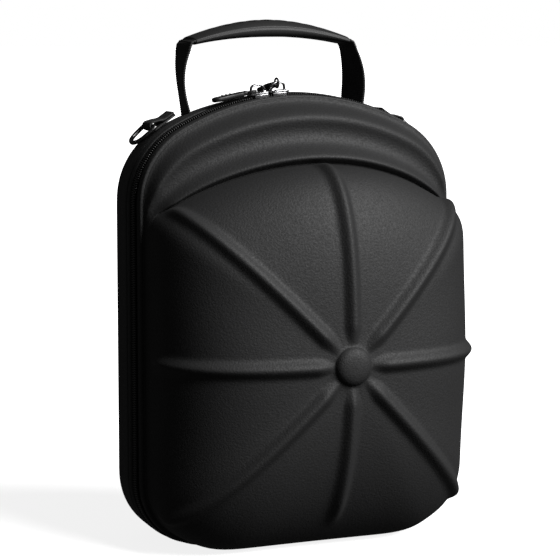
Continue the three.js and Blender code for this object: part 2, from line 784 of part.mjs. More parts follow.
// Shoulder rings. Made flat: the bar along Y at the origin, the bow along -Z. The bar is
// straight as far as the loop reaches, and a round corner leads from it to the bow.
function ringForm() {
  const half = (RING_INSIDE_WIDTH + RING_WIRE) / 2;
  const deep = RING_INSIDE_DEPTH + RING_WIRE;
  const corner = half - TAB_WIDTH / 2;
  const points = [new THREE.Vector3(0, 0, 0)];
  const side = [];
  for (const turn of [0, 30, 60]) {
    const angle = degrees(turn);
    side.push([half - corner * (1 - Math.sin(angle)), corner * (Math.cos(angle) - 1)]);
  }
  for (const turn of [0, 22, 44, 66]) {
    const angle = degrees(turn);
    side.push([half * Math.cos(angle) ** 0.9, -corner - (deep - corner) * Math.sin(angle) ** 0.9]);
  }
  for (const [y, z] of side) points.push(new THREE.Vector3(0, y, z));
  points.push(new THREE.Vector3(0, 0, -deep));
  for (const [y, z] of side.reverse()) points.push(new THREE.Vector3(0, -y, z));
  return wireAlong(points, RING_WIRE, true, RING_STEPS);
}

// Webbing loop about the ring's bar: two layers that lie together and a round eye.
// Made with its tail along +X from the eye, which is centred on the origin.
function tabForm() {
  const hollow = RING_WIRE / 2 + CLEAR;
  const outer = hollow + TAB_THICK;
  const loop = new THREE.Shape();
  loop.moveTo(TAB_LENGTH, -hollow - TAB_THICK);
  loop.lineTo(TAB_LENGTH, -hollow + TAB_THICK);
  loop.lineTo(0.3 * TAB_LENGTH, hollow + TAB_THICK - 0.6);
  loop.absarc(0, 0, outer, degrees(50), degrees(270), false);
  loop.closePath();
  const eye = new THREE.Path();
  eye.absarc(0, 0, hollow, 0, 2 * Math.PI, true);
  loop.holes.push(eye);
  const options = { depth: TAB_WIDTH, bevelEnabled: false, curveSegments: 10 };
  const geometry = new THREE.ExtrudeGeometry(loop, options);
  geometry.translate(0, 0, -TAB_WIDTH / 2);
  return geometry.rotateX(Math.PI / 2);
}

function shoulderRing(side) {
  const name = side < 0 ? "left" : "right";
  const set = new THREE.Group();
  const x = side * RING_AT_X;
  const normal = topNormalAt(x);
  const draft = draftAt(normal, RING_BACK - TAB_WIDTH / 2);
  const lift = RING_WIRE / 2 + TAB_THICK + 3 * CLEAR - draft;
  const at = [x + lift * Math.cos(normal), RING_BACK, topAt(x) + lift * Math.sin(normal)];
  const tab = named(`ring_tab_${name}`, tabForm(), WEBBING);
  const ring = named(`d_ring_${name}`, ringForm(), GUNMETAL);
  for (const mesh of [tab, ring]) mesh.position.set(...at);
  tab.rotation.y = Math.PI / 2 - normal;
  if (side > 0) tab.rotation.z = Math.PI;
  ring.rotation.y = Math.PI / 2 - normal + side * degrees(RING_LEAN_DEG - 90);
  set.add(tab, ring);
  return set;
}

const capCase = new THREE.Group();
capCase.add(named("front_shell", frontShell(), EVA));
capCase.add(named("rear_shell", rearShell(), EVA));
capCase.add(named("zip_tape_front", zipTape(1), NYLON));
capCase.add(named("zip_tape_rear", zipTape(-1), NYLON));
capCase.add(named("zip_coil", zipCoil(), NYLON));
capCase.add(named("hinge_strip", hingeStrip(), NYLON));
capCase.add(zipSliders());
capCase.add(named("handle_grip", gripForm(), RUBBER));
capCase.add(named("handle_strap_left", strapForm(-1), WEBBING));
capCase.add(named("handle_strap_right", strapForm(1), WEBBING));
capCase.add(shoulderRing(-1));
capCase.add(shoulderRing(1));

// Origin under the middle of the case's box
capCase.position.y = (FRONT - REAR_DEPTH) / 2;

export default capCase;
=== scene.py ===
# %% [markdown]
# Baseball cap carrier case
# A hard moulded case for caps, zipped shut and standing with its handle up. The whole case
# is black, so what tells its pieces apart is how each one takes the light: laminated cloth,
# nylon teeth, ribbed webbing, moulded rubber, plated metal. We load the fixed frame first,
# because each piece has to go exactly where the frame says.

import math

import bmesh
import bpy
import numpy as np
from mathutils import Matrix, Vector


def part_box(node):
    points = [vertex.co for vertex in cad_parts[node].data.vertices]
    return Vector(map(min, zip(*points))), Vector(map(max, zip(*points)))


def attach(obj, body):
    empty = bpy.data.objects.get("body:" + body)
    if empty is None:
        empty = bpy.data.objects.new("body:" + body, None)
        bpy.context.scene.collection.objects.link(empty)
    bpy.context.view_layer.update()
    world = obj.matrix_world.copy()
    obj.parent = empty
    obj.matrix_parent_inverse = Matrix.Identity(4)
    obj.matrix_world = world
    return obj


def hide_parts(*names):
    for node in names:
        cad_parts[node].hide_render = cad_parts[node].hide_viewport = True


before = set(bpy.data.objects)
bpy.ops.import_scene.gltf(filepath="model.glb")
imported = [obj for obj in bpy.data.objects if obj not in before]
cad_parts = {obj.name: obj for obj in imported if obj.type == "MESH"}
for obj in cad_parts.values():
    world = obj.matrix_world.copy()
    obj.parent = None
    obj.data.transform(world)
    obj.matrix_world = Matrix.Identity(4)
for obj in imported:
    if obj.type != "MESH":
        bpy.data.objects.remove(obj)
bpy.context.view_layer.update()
MM = 0.001
print("frame loaded:", len(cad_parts), "nodes")

# %% [markdown]
# Sizes
# The frame gives the places: the zip's middle plane, the width and the height. What the
# frame can't give, such as how far the welt stands proud, is named here in metres.

# %% Sizes read from the frame, and the ones named here
shell_low, shell_high = (np.array(corner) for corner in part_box("front_shell"))
coil_low, coil_high = (np.array(corner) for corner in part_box("zip_coil"))
ZIP_Y = (coil_low[1] + coil_high[1]) / 2
HALF_WIDTH = shell_high[0]
HEIGHT = shell_high[2]
RIM = ZIP_Y - shell_high[1]
REAR_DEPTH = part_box("rear_shell")[1][1] - ZIP_Y
COIL_SUNK = HEIGHT - coil_high[2]
TOP_RADIUS = 170 * MM
SHOULDER_RADIUS = 55 * MM
CORNER_RADIUS = 43 * MM
WELT_WIDTH = 6 * MM
WELT_PROUD = 4 * MM
WELT_FACE = RIM + WELT_WIDTH
BUTTON_UP = 123.3 * MM
BUTTON_PROUD = 5.5 * MM
BUTTON_RADIUS = 12 * MM
CROWN_DEPTH = ZIP_Y - shell_low[1] - BUTTON_PROUD
BASE_DEPTH = WELT_FACE + 0.6 * MM
BRIM_ARCH_RADIUS = 180 * MM
BRIM_ARCH_TOP = 242 * MM
VALLEY_DEPTH = 36.5 * MM
FLANK_LIFT = 8 * MM
RIBS = 8
RIB_WIDTH = 12.6 * MM
RIB_HEIGHT = 4 * MM
REAR_EDGE_RADIUS = 21 * MM
REAR_DRAFT = 3.4 * MM
FRONT_WALL = 3 * MM
REAR_WALL = 4.4 * MM
print("case:", round(2 * HALF_WIDTH, 4), "wide,", round(HEIGHT, 4), "high at the zip")

# %% [markdown]
# Camera
# A long lens stands well back, a little above the case and round to its left, so that the
# left flank, the zip and the face all show. On a sensor 36 mm wide a focal length counted
# in picture widths turns straight into millimetres of lens.

# %% Camera
SENSOR_WIDTH = 36
VIEW_END = 20
PHOTO_SIZE = 560
FOCAL_IN_PIXELS = 2200
CAMERA_AZIMUTH = math.radians(-23.84)
CAMERA_ELEVATION = math.radians(7.0)
CAMERA_DISTANCE = 1.4074
LOOK_AT = np.array([-0.0082, ZIP_Y, 0.1662])


def stand_off(thing, target, azimuth, elevation, distance):
    """Stands a camera or lamp off from its target and turns it to look there."""
    flat = math.cos(elevation)
    away = np.array([math.sin(azimuth) * flat, -math.cos(azimuth) * flat, math.sin(elevation)])
    thing.location = np.array(target) + distance * away
    thing.rotation_euler = (math.pi / 2 - elevation, 0, azimuth)


def add_camera():
    bpy.ops.object.camera_add()
    camera = bpy.context.object
    stand_off(camera, LOOK_AT, CAMERA_AZIMUTH, CAMERA_ELEVATION, CAMERA_DISTANCE)
    camera.data.sensor_width = SENSOR_WIDTH
    camera.data.lens = SENSOR_WIDTH * FOCAL_IN_PIXELS / PHOTO_SIZE
    camera.data.clip_end = VIEW_END
    bpy.context.scene.camera = camera
    return camera


camera = add_camera()
print("camera at", [round(value, 3) for value in camera.location])

# %% [markdown]
# Growing a skin ring by ring
# Most pieces here are skins with a steady number of corners round them: a shell, a strap, a
# grip. By hand one adds a circle, extrudes its edge, and moves each new ring to its place.
# This helper does the same. A layer on the corners remembers each one's column, so an
# extruded ring always lands in the right order. A point where hundreds of edges meet makes
# the subdivision very slow, so an end that is one point is left as a tiny hole, and the
# hole is filled once the skin has been rounded.

# %% Helper: a skin grown from rings of points
ONE_POINT = 1e-9
HOLE_SHARE = 0.12


def mix(a, b, share):
    return a + (b - a) * share


def smooth_step(start, end, value):
    share = np.clip((value - start) / (end - start), 0, 1)
    return share * share * (3 - 2 * share)


def clear_selection():
    bpy.ops.object.select_all(action="DESELECT")


def open_poles(rings):
    """Turns an end ring that is one point into a small ring, which is capped later."""
    rings = list(rings)
    for end, neighbour in ((0, 1), (-1, -2)):
        if np.ptp(rings[end], axis=0).max() < ONE_POINT:
            rings[end] = mix(rings[end], rings[neighbour], HOLE_SHARE)
    return rings


def grow_skin(name, rings):
    rings = open_poles(rings)
    clear_selection()
    bpy.ops.mesh.primitive_circle_add(vertices=len(rings[0]), radius=1, fill_type="NOTHING")
    piece = bpy.context.object
    piece.name = name
    bpy.ops.object.mode_set(mode="EDIT")
    bpy.ops.mesh.select_mode(type="EDGE")
    mesh = bmesh.from_edit_mesh(piece.data)
    column = mesh.verts.layers.int.new("column")
    for number, corner in enumerate(mesh.verts):
        corner[column] = number
        corner.co = rings[0][number]
    bpy.ops.mesh.select_all(action="SELECT")
    for ring in rings[1:]:
        bpy.ops.mesh.extrude_edges_indiv()
        mesh = bmesh.from_edit_mesh(piece.data)
        mesh.verts.ensure_lookup_table()
        column = mesh.verts.layers.int["column"]
        for corner in mesh.verts[-len(ring):]:
            corner.co = ring[corner[column]]
    bmesh.update_edit_mesh(piece.data)
    bpy.ops.object.mode_set(mode="OBJECT")
    piece.data.attributes.remove(piece.data.attributes["column"])
    return closed_up(piece)


def edit_whole(piece, operator, **settings):
    """Runs one mesh operator on all of a piece, then turns its faces outward."""
    bpy.context.view_layer.objects.active = piece
    bpy.ops.object.mode_set(mode="EDIT")
    bpy.ops.mesh.select_mode(type="VERT")
    bpy.ops.mesh.select_all(action="SELECT")
    operator(**settings)
    bpy.ops.mesh.normals_make_consistent(inside=False)
    bpy.ops.object.mode_set(mode="OBJECT")
    return piece


def closed_up(piece):
    return edit_whole(piece, bpy.ops.mesh.remove_doubles, threshold=1e-6)


def run_skin(name, rings):
    """The same skin for long strips of hundreds of rings, written straight into a mesh."""
    rings = open_poles(rings)
    count = len(rings[0])
    number = np.arange(len(rings) * count).reshape(len(rings), count)
    following = np.roll(number, -1, axis=1)
    faces = np.stack([number[:-1], following[:-1], following[1:], number[1:]], axis=-1)
    mesh = bpy.data.meshes.new(name)
    mesh.from_pydata(np.concatenate(rings).tolist(), [], faces.reshape(-1, 4).tolist())
    piece = bpy.data.objects.new(name, mesh)
    bpy.context.collection.objects.link(piece)
    return closed_up(piece)


def smoothed(piece, levels=1):
    if levels:
        modifier = piece.modifiers.new("fine", "SUBSURF")
        modifier.levels = levels
        modifier.render_levels = levels
        bpy.context.view_layer.objects.active = piece
        bpy.ops.object.modifier_apply(modifier=modifier.name)
    clear_selection()
    piece.select_set(True)
    edit_whole(piece, bpy.ops.mesh.fill_holes, sides=0)
    bpy.ops.object.shade_smooth()
    piece.select_set(False)
    return piece


# %% [markdown]
# The case's outline
# Seen from the front the case is an arch of three arcs over straight sides, with round
# bottom corners. We measure everything from the button in the crown's middle, because the
# ribs run out from it: reach() finds how far the outline lies from it in any direction.

# %% Outline of the case, measured from the button
SHOULDER_X = HALF_WIDTH - SHOULDER_RADIUS
ARCH_Z = HEIGHT - TOP_RADIUS
SHOULDER_Z = ARCH_Z + math.sqrt((TOP_RADIUS - SHOULDER_RADIUS) ** 2 - SHOULDER_X ** 2)


def outside_by(x, z):
    side = np.abs(x)
    top_arc = np.hypot(side, z - ARCH_Z) - TOP_RADIUS
    shoulder = np.hypot(side - SHOULDER_X, z - SHOULDER_Z) - SHOULDER_RADIUS
    in_top = side * (SHOULDER_Z - ARCH_Z) < (z - ARCH_Z) * SHOULDER_X
    corner_x = HALF_WIDTH - CORNER_RADIUS
    corner = np.hypot(side - corner_x, z - CORNER_RADIUS) - CORNER_RADIUS
    in_corner = (side > corner_x) & (z < CORNER_RADIUS)
    below = np.where(in_corner, corner, np.maximum(side - HALF_WIDTH, -z))
    return np.where(z > SHOULDER_Z, np.where(in_top, top_arc, shoulder), below)


def reach(angle, inset):
    near = np.zeros(np.broadcast(angle, inset).shape)
    far = near + HEIGHT + HALF_WIDTH
    for _ in range(40):
        middle = (near + far) / 2
        inside = outside_by(middle * np.cos(angle), BUTTON_UP + middle * np.sin(angle)) < -inset
        near = np.where(inside, middle, near)
        far = np.where(inside, far, middle)
    return near


def on_face(angle, radius, depth):
    x = radius * np.cos(angle)
    z = BUTTON_UP + radius * np.sin(angle)
    return np.stack([x, ZIP_Y - depth + 0 * x, z], axis=-1)


def on_outline(angle, inset, depth):
    return on_face(angle, reach(angle, inset), depth)


print("shoulders start at", round(SHOULDER_Z, 4))

# %% [markdown]
# Front shell: the pressed cap
# The real shell is one sheet of foam and cloth, pressed over a tool shaped like a cap: a
# brim roll under the top edge, a deep crown with ribs, a button. No single operator gives
# that form, and sculpting it could not be repeated, so its sections are worked out: one
# profile for each direction from the button, from the middle out to the rim.

# %% Front shell: its profiles
CROWN_PROFILE = [(-90, 2.1), (-45, 2.2), (0, 2.6), (45, 2.3), (90, 2.8)]
BRIM_ACROSS = [0, 0.03, 0.07, 0.12, 0.18, 0.25, 0.33, 0.45, 0.57, 0.67, 0.76, 0.84, 0.9, 0.96, 1]
BRIM_ROLL = [1, 1.04, 1.18, 1.29, 1.22, 0.95, 0.72, 0.63, 0.63, 0.69, 0.68, 0.42, 0.16, 0.03, 0]
BRIM_FLANK = [1, 0.94, 0.89, 0.83, 0.77, 0.71, 0.65, 0.54, 0.44, 0.35, 0.27, 0.18, 0.11, 0.04, 0]
DIRECTIONS = 720
CROWN_PLACES = 200
BRIM_PLACES = 100


def crown_power(angle):
    up = np.degrees(np.arcsin(np.clip(np.sin(angle), -1, 1)))
    power = np.full(up.shape, CROWN_PROFILE[0][1])
    for (low, power_low), (high, power_high) in zip(CROWN_PROFILE, CROWN_PROFILE[1:]):
        share = smooth_step(low, high, up)
        power = np.where(up >= low, mix(power_low, power_high, share), power)
    return power


def welt_at(angle):
    """How far the welt stands proud: it runs out along the flat bottom."""
    return WELT_PROUD * smooth_step(-0.92, -0.8, np.sin(angle))


def valley_at(angle):
    base = reach(angle, welt_at(angle))
    centre = BRIM_ARCH_TOP - BRIM_ARCH_RADIUS - BUTTON_UP
    root = np.sqrt(BRIM_ARCH_RADIUS ** 2 - (centre * np.cos(angle)) ** 2)
    arch = centre * np.sin(angle) + root
    flank = base - 0.1 * welt_at(angle)
    blend = 2 * WELT_PROUD
    share = np.clip(0.5 + (arch - flank) / (2 * blend), 0, 1)
    radius = mix(arch, flank, share) - blend * share * (1 - share)
    brim = smooth_step(0, 5 * WELT_PROUD, base - radius - WELT_PROUD / 4)
    x = radius * np.cos(angle) / (HALF_WIDTH - WELT_PROUD)
    rise = (VALLEY_DEPTH - BASE_DEPTH - FLANK_LIFT) * np.maximum(1 - x * x, 0) * brim
    return base, radius, brim, BASE_DEPTH + FLANK_LIFT + rise


def soft_table(across, heights, places):
    """The brim's section through its table, rounded by a moving average."""
    fine = np.linspace(0, 1, 401)
    values = np.interp(fine, across, heights)
    window = np.hanning(35)
    padded = np.pad(values, 17, mode="reflect", reflect_type="odd")
    return np.interp(places, fine, np.convolve(padded, window / window.sum(), "valid"))


def profile_places(radius, depth):
    """Length along each profile, counted longer where it bends, as a share of the whole."""
    heading = np.arctan2(-np.diff(depth, axis=1), np.diff(radius, axis=1))
    turned = np.abs(np.diff(heading, axis=1, prepend=0))
    step = np.hypot(np.diff(radius, axis=1), np.diff(depth, axis=1))
    length = np.cumsum(step + 0.35 * CROWN_DEPTH * turned, axis=1)
    length = np.concatenate([np.zeros((len(radius), 1)), length], axis=1)
    return length / length[:, -1:]


def front_grid():
    """Radius and depth of the smooth face for every direction and place."""
    angles = np.arange(DIRECTIONS) * 2 * math.pi / DIRECTIONS
    base, valley, brim, valley_depth = valley_at(angles)
    turn = np.linspace(math.pi / 2, 0, 241)[None, :]
    power = 2 / crown_power(angles)[:, None]
    radius = valley[:, None] * np.maximum(np.cos(turn), 0) ** power
    depth = mix(valley_depth[:, None], CROWN_DEPTH, np.maximum(np.sin(turn), 0) ** power)
    radius[:, 0] = 0
    share = profile_places(radius, depth)
    places = np.linspace(0, 1, CROWN_PLACES + 1)
    rows_r = np.stack([np.interp(places, s, r) for s, r in zip(share, radius)])
    rows_d = np.stack([np.interp(places, s, d) for s, d in zip(share, depth)])
    out = np.linspace(0, 1, BRIM_PLACES + 1)[1:]
    rows = np.linspace(0, 1, len(BRIM_ACROSS))
    across, roll, flank = (soft_table(rows, column, out)
                           for column in (BRIM_ACROSS, BRIM_ROLL, BRIM_FLANK))
    rise = mix(flank[None, :], roll[None, :], brim[:, None])
    brim_r = mix(valley[:, None], base[:, None], across[None, :])
    brim_d = BASE_DEPTH + (valley_depth[:, None] - BASE_DEPTH) * rise
    return np.concatenate([rows_r, brim_r], 1), np.concatenate([rows_d, brim_d], 1)


face_radius, face_depth = front_grid()
print("front face grid:", face_radius.shape)

# %% [markdown]
# Rounding the valley
# Where the crown rises out of the brim the pressed sheet can't crease, so the profiles are
# averaged a little along their length. The same grid then gives the direction square to
# the sheet, which lifts the ribs and sets the wall inward.

# %% Front shell: soften the grid and find its normals
def averaged(grid, half, axis, wrap):
    window = np.hanning(2 * half + 3)[1:-1]
    window /= window.sum()
    mode = "wrap" if wrap else "reflect"
    extra = {} if wrap else {"reflect_type": "odd"}
    pads = [(half, half) if a == axis else (0, 0) for a in (0, 1)]
    padded = np.pad(grid, pads, mode=mode, **extra)
    return np.apply_along_axis(lambda row: np.convolve(row, window, "valid"), axis, padded)


def face_normals(points):
    round_way = np.roll(points, -1, axis=0) - np.roll(points, 1, axis=0)
    out_way = np.gradient(points, axis=1)
    normal = np.cross(out_way, round_way)
    normal /= np.maximum(np.linalg.norm(normal, axis=2, keepdims=True), 1e-12)
    normal[:, :3] = (0, -1, 0)
    return normal


def rounded_at_valley(grid):
    """Averaged a little everywhere and much more close to the valley."""
    fine = averaged(grid, 5, 1, False)
    broad = averaged(fine, 16, 1, False)
    line = np.arange(grid.shape[1])
    place = line / CROWN_PLACES
    near = smooth_step(0.84, 0.97, place) * (1 - smooth_step(1.0, 1.06, place))
    return mix(fine, broad, near[None, :])


face_radius = rounded_at_valley(face_radius)
face_depth = rounded_at_valley(face_depth)
face_radius[:, 0] = 0
grid_angles = np.arange(DIRECTIONS) * 2 * math.pi / DIRECTIONS
face_points = on_face(grid_angles[:, None], face_radius, face_depth)
face_out = face_normals(face_points)
print("normal at the left flank:", np.round(face_out[DIRECTIONS // 2, CROWN_PLACES], 2))


def sample(grid, angle, place):
    """Reads the grid between its rows. place runs 0 to 1 over the crown and 1 to 2 out."""
    row = (angle / (2 * math.pi) * DIRECTIONS) % DIRECTIONS
    line = np.where(place <= 1, place * CROWN_PLACES, CROWN_PLACES + (place - 1) * BRIM_PLACES)
    line = np.clip(line, 0, grid.shape[1] - 1.0001)
    r0, l0 = np.floor(row).astype(int), np.floor(line).astype(int)
    fr, fl = row - r0, line - l0
    if grid.ndim == 3:
        fr, fl = fr[..., None], fl[..., None]
    r1 = (r0 + 1) % DIRECTIONS
    r0 = r0 % DIRECTIONS
    near = mix(grid[r0, l0], grid[r0, l0 + 1], fl)
    far = mix(grid[r1, l0], grid[r1, l0 + 1], fl)
    return mix(near, far, fr)


# %% [markdown]
# Ribs and button
# Eight ribs stand for the seams of a real cap. Each is a round swelling along its direction
# from the button, lifted square to the sheet, and it dies away in the valley. Columns crowd
# together at each rib, because that is where the surface turns fastest.

# %% Front shell: columns, ribs and rings
COLUMNS_PER_RIB = 26
BUTTON_FORM = [
    (0.3, 0.98), (0.55, 0.9), (0.75, 0.77), (0.88, 0.58), (0.96, 0.36), (1, 0.14), (1.05, 0.02)
]
WELT_FORM = [
    (3.7, 0.1), (3.2, 0.04), (2.4, 0), (1.9, -0.3), (1.6, -0.9), (1.45, -2), (1.4, -4.8)
]
RIM_FORM = [(1.5, 0.4), (1.7, 0), (2.2, 0), (2.2, 3.6)]
CROWN_START = 0.12
CROWN_RINGS = 56
BRIM_RINGS = 36


def rib_columns():
    offset = np.linspace(-1, 1, COLUMNS_PER_RIB + 1)[:-1]
    swing = (0.3 * offset + 0.7 * offset ** 3) * math.pi / RIBS
    ribs = np.arange(RIBS) * 2 * math.pi / RIBS
    return (ribs[:, None] + swing[None, :]).ravel() % (2 * math.pi)


def rib_over(angle, radius, place):
    step = 2 * math.pi / RIBS
    off = angle - step * np.round(angle / step)
    across = np.minimum(np.abs(radius * np.sin(off)) / (RIB_WIDTH / 2), 1)
    swell = (0.5 + 0.5 * np.cos(math.pi * across)) ** 0.8
    end = mix(0.5, 0.84, welt_at(angle) / WELT_PROUD)
    return RIB_HEIGHT * swell * (1 - smooth_step(end, end + 0.2, place))


def face_ring(angle, place, inward=0.0):
    points = sample(face_points, angle, place)
    out = sample(face_out, angle, place)
    out /= np.linalg.norm(out, axis=1, keepdims=True)
    if inward:
        return points - inward * out
    lift = rib_over(angle, sample(face_radius, angle, place), place)
    return points + lift[:, None] * out


def front_rings():
    angle = rib_columns()
    middle = on_face(angle, 0 * angle, CROWN_DEPTH + BUTTON_PROUD)
    rings = [middle]
    for radius, height in BUTTON_FORM:
        depth = CROWN_DEPTH + BUTTON_PROUD * height
        rings.append(on_face(angle, 0 * angle + BUTTON_RADIUS * radius, depth))
    for place in np.linspace(CROWN_START, 1, CROWN_RINGS):
        rings.append(face_ring(angle, place))
    for place in np.linspace(1, 2, BRIM_RINGS + 1)[1:]:
        rings.append(face_ring(angle, place))
    stands = welt_at(angle) / WELT_PROUD
    for inset, past_face in WELT_FORM:
        rings.append(on_outline(angle, inset * MM * stands, WELT_FACE + past_face * MM))
    for inset, past_rim in RIM_FORM:
        rings.append(on_outline(angle, inset * MM, RIM + past_rim * MM))
    rings.append(on_outline(angle, welt_at(angle) + FRONT_WALL, BASE_DEPTH - 1.2 * MM))
    for place in (1.5, 1, 0.8, 0.6, 0.35):
        rings.append(face_ring(angle, place, FRONT_WALL))
    rings.append(on_face(angle, 0 * angle, CROWN_DEPTH - FRONT_WALL))
    return rings


front = smoothed(grow_skin("moulded_front", front_rings()))
print("front shell:", len(front.data.polygons), "faces")

# %% [markdown]
# Rear shell
# The rear is a plain tray: a welt at the zip, a flank drawn in a little so that it leaves
# its mould, a wide rounded edge and a flat back. The bottom isn't drawn in, because the case
# stands on it. Rings of corners follow that section from the back's middle to the rim.

# %% Rear shell
REAR_COLUMNS = 200
STRAIGHT = REAR_DEPTH - REAR_EDGE_RADIUS


def draft_at(angle, depth):
    level = smooth_step(-0.9, -0.6, np.sin(angle))
    rim = RIM + WELT_WIDTH
    return REAR_DRAFT * level * max(depth - rim, 0) / (STRAIGHT - rim)


def rear_rings():
    angle = np.arange(REAR_COLUMNS) * 2 * math.pi / REAR_COLUMNS

    def ring(depth, inset):
        draft = draft_at(angle, min(depth, STRAIGHT))
        return on_outline(angle, draft + inset, -depth)

    def back(share):
        edge = reach(angle, draft_at(angle, STRAIGHT) + REAR_EDGE_RADIUS)
        return on_face(angle, edge * share, -REAR_DEPTH)

    rings = [back(share) for share in (0, 0.3, 0.65, 0.9)]
    for turn in np.linspace(0, math.pi / 2, 10):
        inset = REAR_EDGE_RADIUS * (1 - math.sin(turn))
        rings.append(ring(STRAIGHT + REAR_EDGE_RADIUS * math.cos(turn), inset))
    rings += [ring(mix(STRAIGHT, 13 * MM, share), 0) for share in (0.3, 0.65, 1)]
    welt = [
        (11.8, 0.25), (11.0, 0.95), (10.5, 1.1), (10.1, 0.75), (9.6, 0.25), (8.8, 0),
        (5.4, 0), (4.6, 0.15), (4.2, 0.6), (4.2, 2.2), (7.8, 2.2), (10.2, 4),
    ]
    rings += [ring(depth * MM, inset * MM) for depth, inset in welt]
    hollow = REAR_EDGE_RADIUS - REAR_WALL
    for turn in np.linspace(math.pi / 2, 0, 4):
        inset = REAR_WALL + hollow * (1 - math.sin(turn))
        rings.append(ring(STRAIGHT + hollow * math.cos(turn), inset))
    rings.append(on_face(angle, 0 * angle, REAR_WALL - REAR_DEPTH))
    return rings


rear = smoothed(grow_skin("moulded_rear", rear_rings()))
print("rear shell:", len(rear.data.polygons), "faces")

# %% [markdown]
# Zip tapes and hinge
# Woven tape is sewn inside each rim and the teeth stand on it. Across the bottom a plain
# strip of the same cloth is the hinge. All three are flat bands that follow the outline, so
# one helper runs a small rounded section round it.

# %% Zip tapes and hinge
ZIP_START = math.radians(-63)
ZIP_END = math.radians(243)
TAPE_INSET = 2.5 * MM
TAPE_THICK = 1.2 * MM
TAPE_NEAR = 0.3 * MM
TAPE_FAR = 7.1 * MM
HINGE_GAP = 0.002


# Section of a tape: which edge (0 or 1), how far in from it in bevels, and how far down
TAPE_CORNERS = [(0, 0, 0.3), (0, 1, 0), (1, 1, 0), (1, 0, 0.3),
                (1, 0, 0.7), (1, 1, 1), (0, 1, 1), (0, 0, 0.7)]


def ended(rings):
    """The rings with a point added in the middle of each end."""
    first, last = (np.tile(rings[end].mean(axis=0), (len(rings[end]), 1)) for end in (0, -1))
    return [first, *rings, last]


def band(name, start, end, depth_low, depth_high, steps):
    """A closed band between two depths, lying on the inset where the tapes are sewn."""
    angle = np.linspace(start, end, steps)
    bevel = TAPE_THICK / (depth_high - depth_low)
    sections = []
    for edge, bevels, down in TAPE_CORNERS:
        depth = mix(depth_low, depth_high, edge + (0.5 - edge) * bevel * bevels)
        sections.append(on_outline(angle, TAPE_INSET + down * TAPE_THICK, depth))
    return smoothed(run_skin(name, ended(np.stack(sections, axis=1))), 0)


tape_front = band("sewn_tape_front", ZIP_START, ZIP_END, TAPE_NEAR, TAPE_FAR, 240)
tape_rear = band("sewn_tape_rear", ZIP_START, ZIP_END, -TAPE_FAR, -TAPE_NEAR, 240)
hinge_ends = (ZIP_END + HINGE_GAP, ZIP_START + 2 * math.pi - HINGE_GAP)
hinge = band("cloth_hinge", *hinge_ends, -TAPE_FAR, TAPE_FAR, 60)
print("tapes and hinge:", [piece.name for piece in (tape_front, tape_rear, hinge)])

# %% [markdown]
# Zip teeth
# The coil is one nylon spring on each tape, and the two sets of loops lock into each other.
# From outside each loop shows as a short rounded bar. So one bar is modelled, as a cube with
# rounded edges, and copies of it are set along the outline in two rows half a pitch apart.

# %% Zip teeth
TOOTH_PITCH = 1.5 * MM
TOOTH_SIZE = (0.85 * MM, 3.7 * MM, 1.6 * MM)
TOOTH_REACH = 1.45 * MM
TOOTH_INSET = 1.25 * MM


def unit(vector):
    return vector / np.linalg.norm(vector)


def rounded_block(name, size, bevel, segments):
    clear_selection()
    bpy.ops.mesh.primitive_cube_add(size=1)
    block = bpy.context.object
    block.name = name
    block.scale = size
    bpy.ops.object.transform_apply(location=False, rotation=False, scale=True)
    return edit_whole(block, bpy.ops.mesh.bevel, offset=bevel, segments=segments, affect="EDGES")


def arrays_of(piece):
    points = np.array([corner.co[:] for corner in piece.data.vertices])
    faces = [list(face.vertices) for face in piece.data.polygons]
    return points, faces


def copies_of(name, block, frames):
    """One mesh holding a copy of block at each frame: (point, along, across, out)."""
    points, faces = arrays_of(block)
    all_points, all_faces = [], []
    for number, (at, along, across, out) in enumerate(frames):
        all_points.append(at + points @ np.stack([along, across, out]))
        all_faces += [[corner + number * len(points) for corner in face] for face in faces]
    mesh = bpy.data.meshes.new(name)
    mesh.from_pydata(np.concatenate(all_points).tolist(), [], all_faces)
    piece = bpy.data.objects.new(name, mesh)
    bpy.context.collection.objects.link(piece)
    bpy.data.objects.remove(block)
    return smoothed(piece, 0)


def tooth_frames():
    angle = np.linspace(ZIP_START, ZIP_END, 4000)
    line = on_outline(angle, 0 * angle + TOOTH_INSET, 0)
    length = np.concatenate([[0], np.cumsum(np.linalg.norm(np.diff(line, axis=0), axis=1))])
    across = np.array([0.0, 1.0, 0.0])
    count = int(length[-1] / TOOTH_PITCH)

    def point_at(at):
        return np.array([np.interp(at, length, line[:, axis]) for axis in range(3)])

    frames = []
    for number in range(2 * count):
        at = (number + 0.5) * TOOTH_PITCH / 2
        along = unit(point_at(at + 0.5 * MM) - point_at(at - 0.5 * MM))
        side = 1 if number % 2 else -1
        point = point_at(at) + side * TOOTH_REACH * across
        frames.append((point, along, across, np.cross(along, across)))
    return frames


tooth = rounded_block("tooth", TOOTH_SIZE, 0.34 * MM, 2)
teeth = copies_of("zip_teeth", tooth, tooth_frames())
print("zip teeth:", len(teeth.data.polygons), "faces")

# %% [markdown]
# Wires, straps and slabs
# Three more forms come again and again on the fittings: a round wire along a path, a strip
# of webbing along a path, and a flat plate with rounded edges. Each is still a skin grown
# ring by ring; only the rings differ.

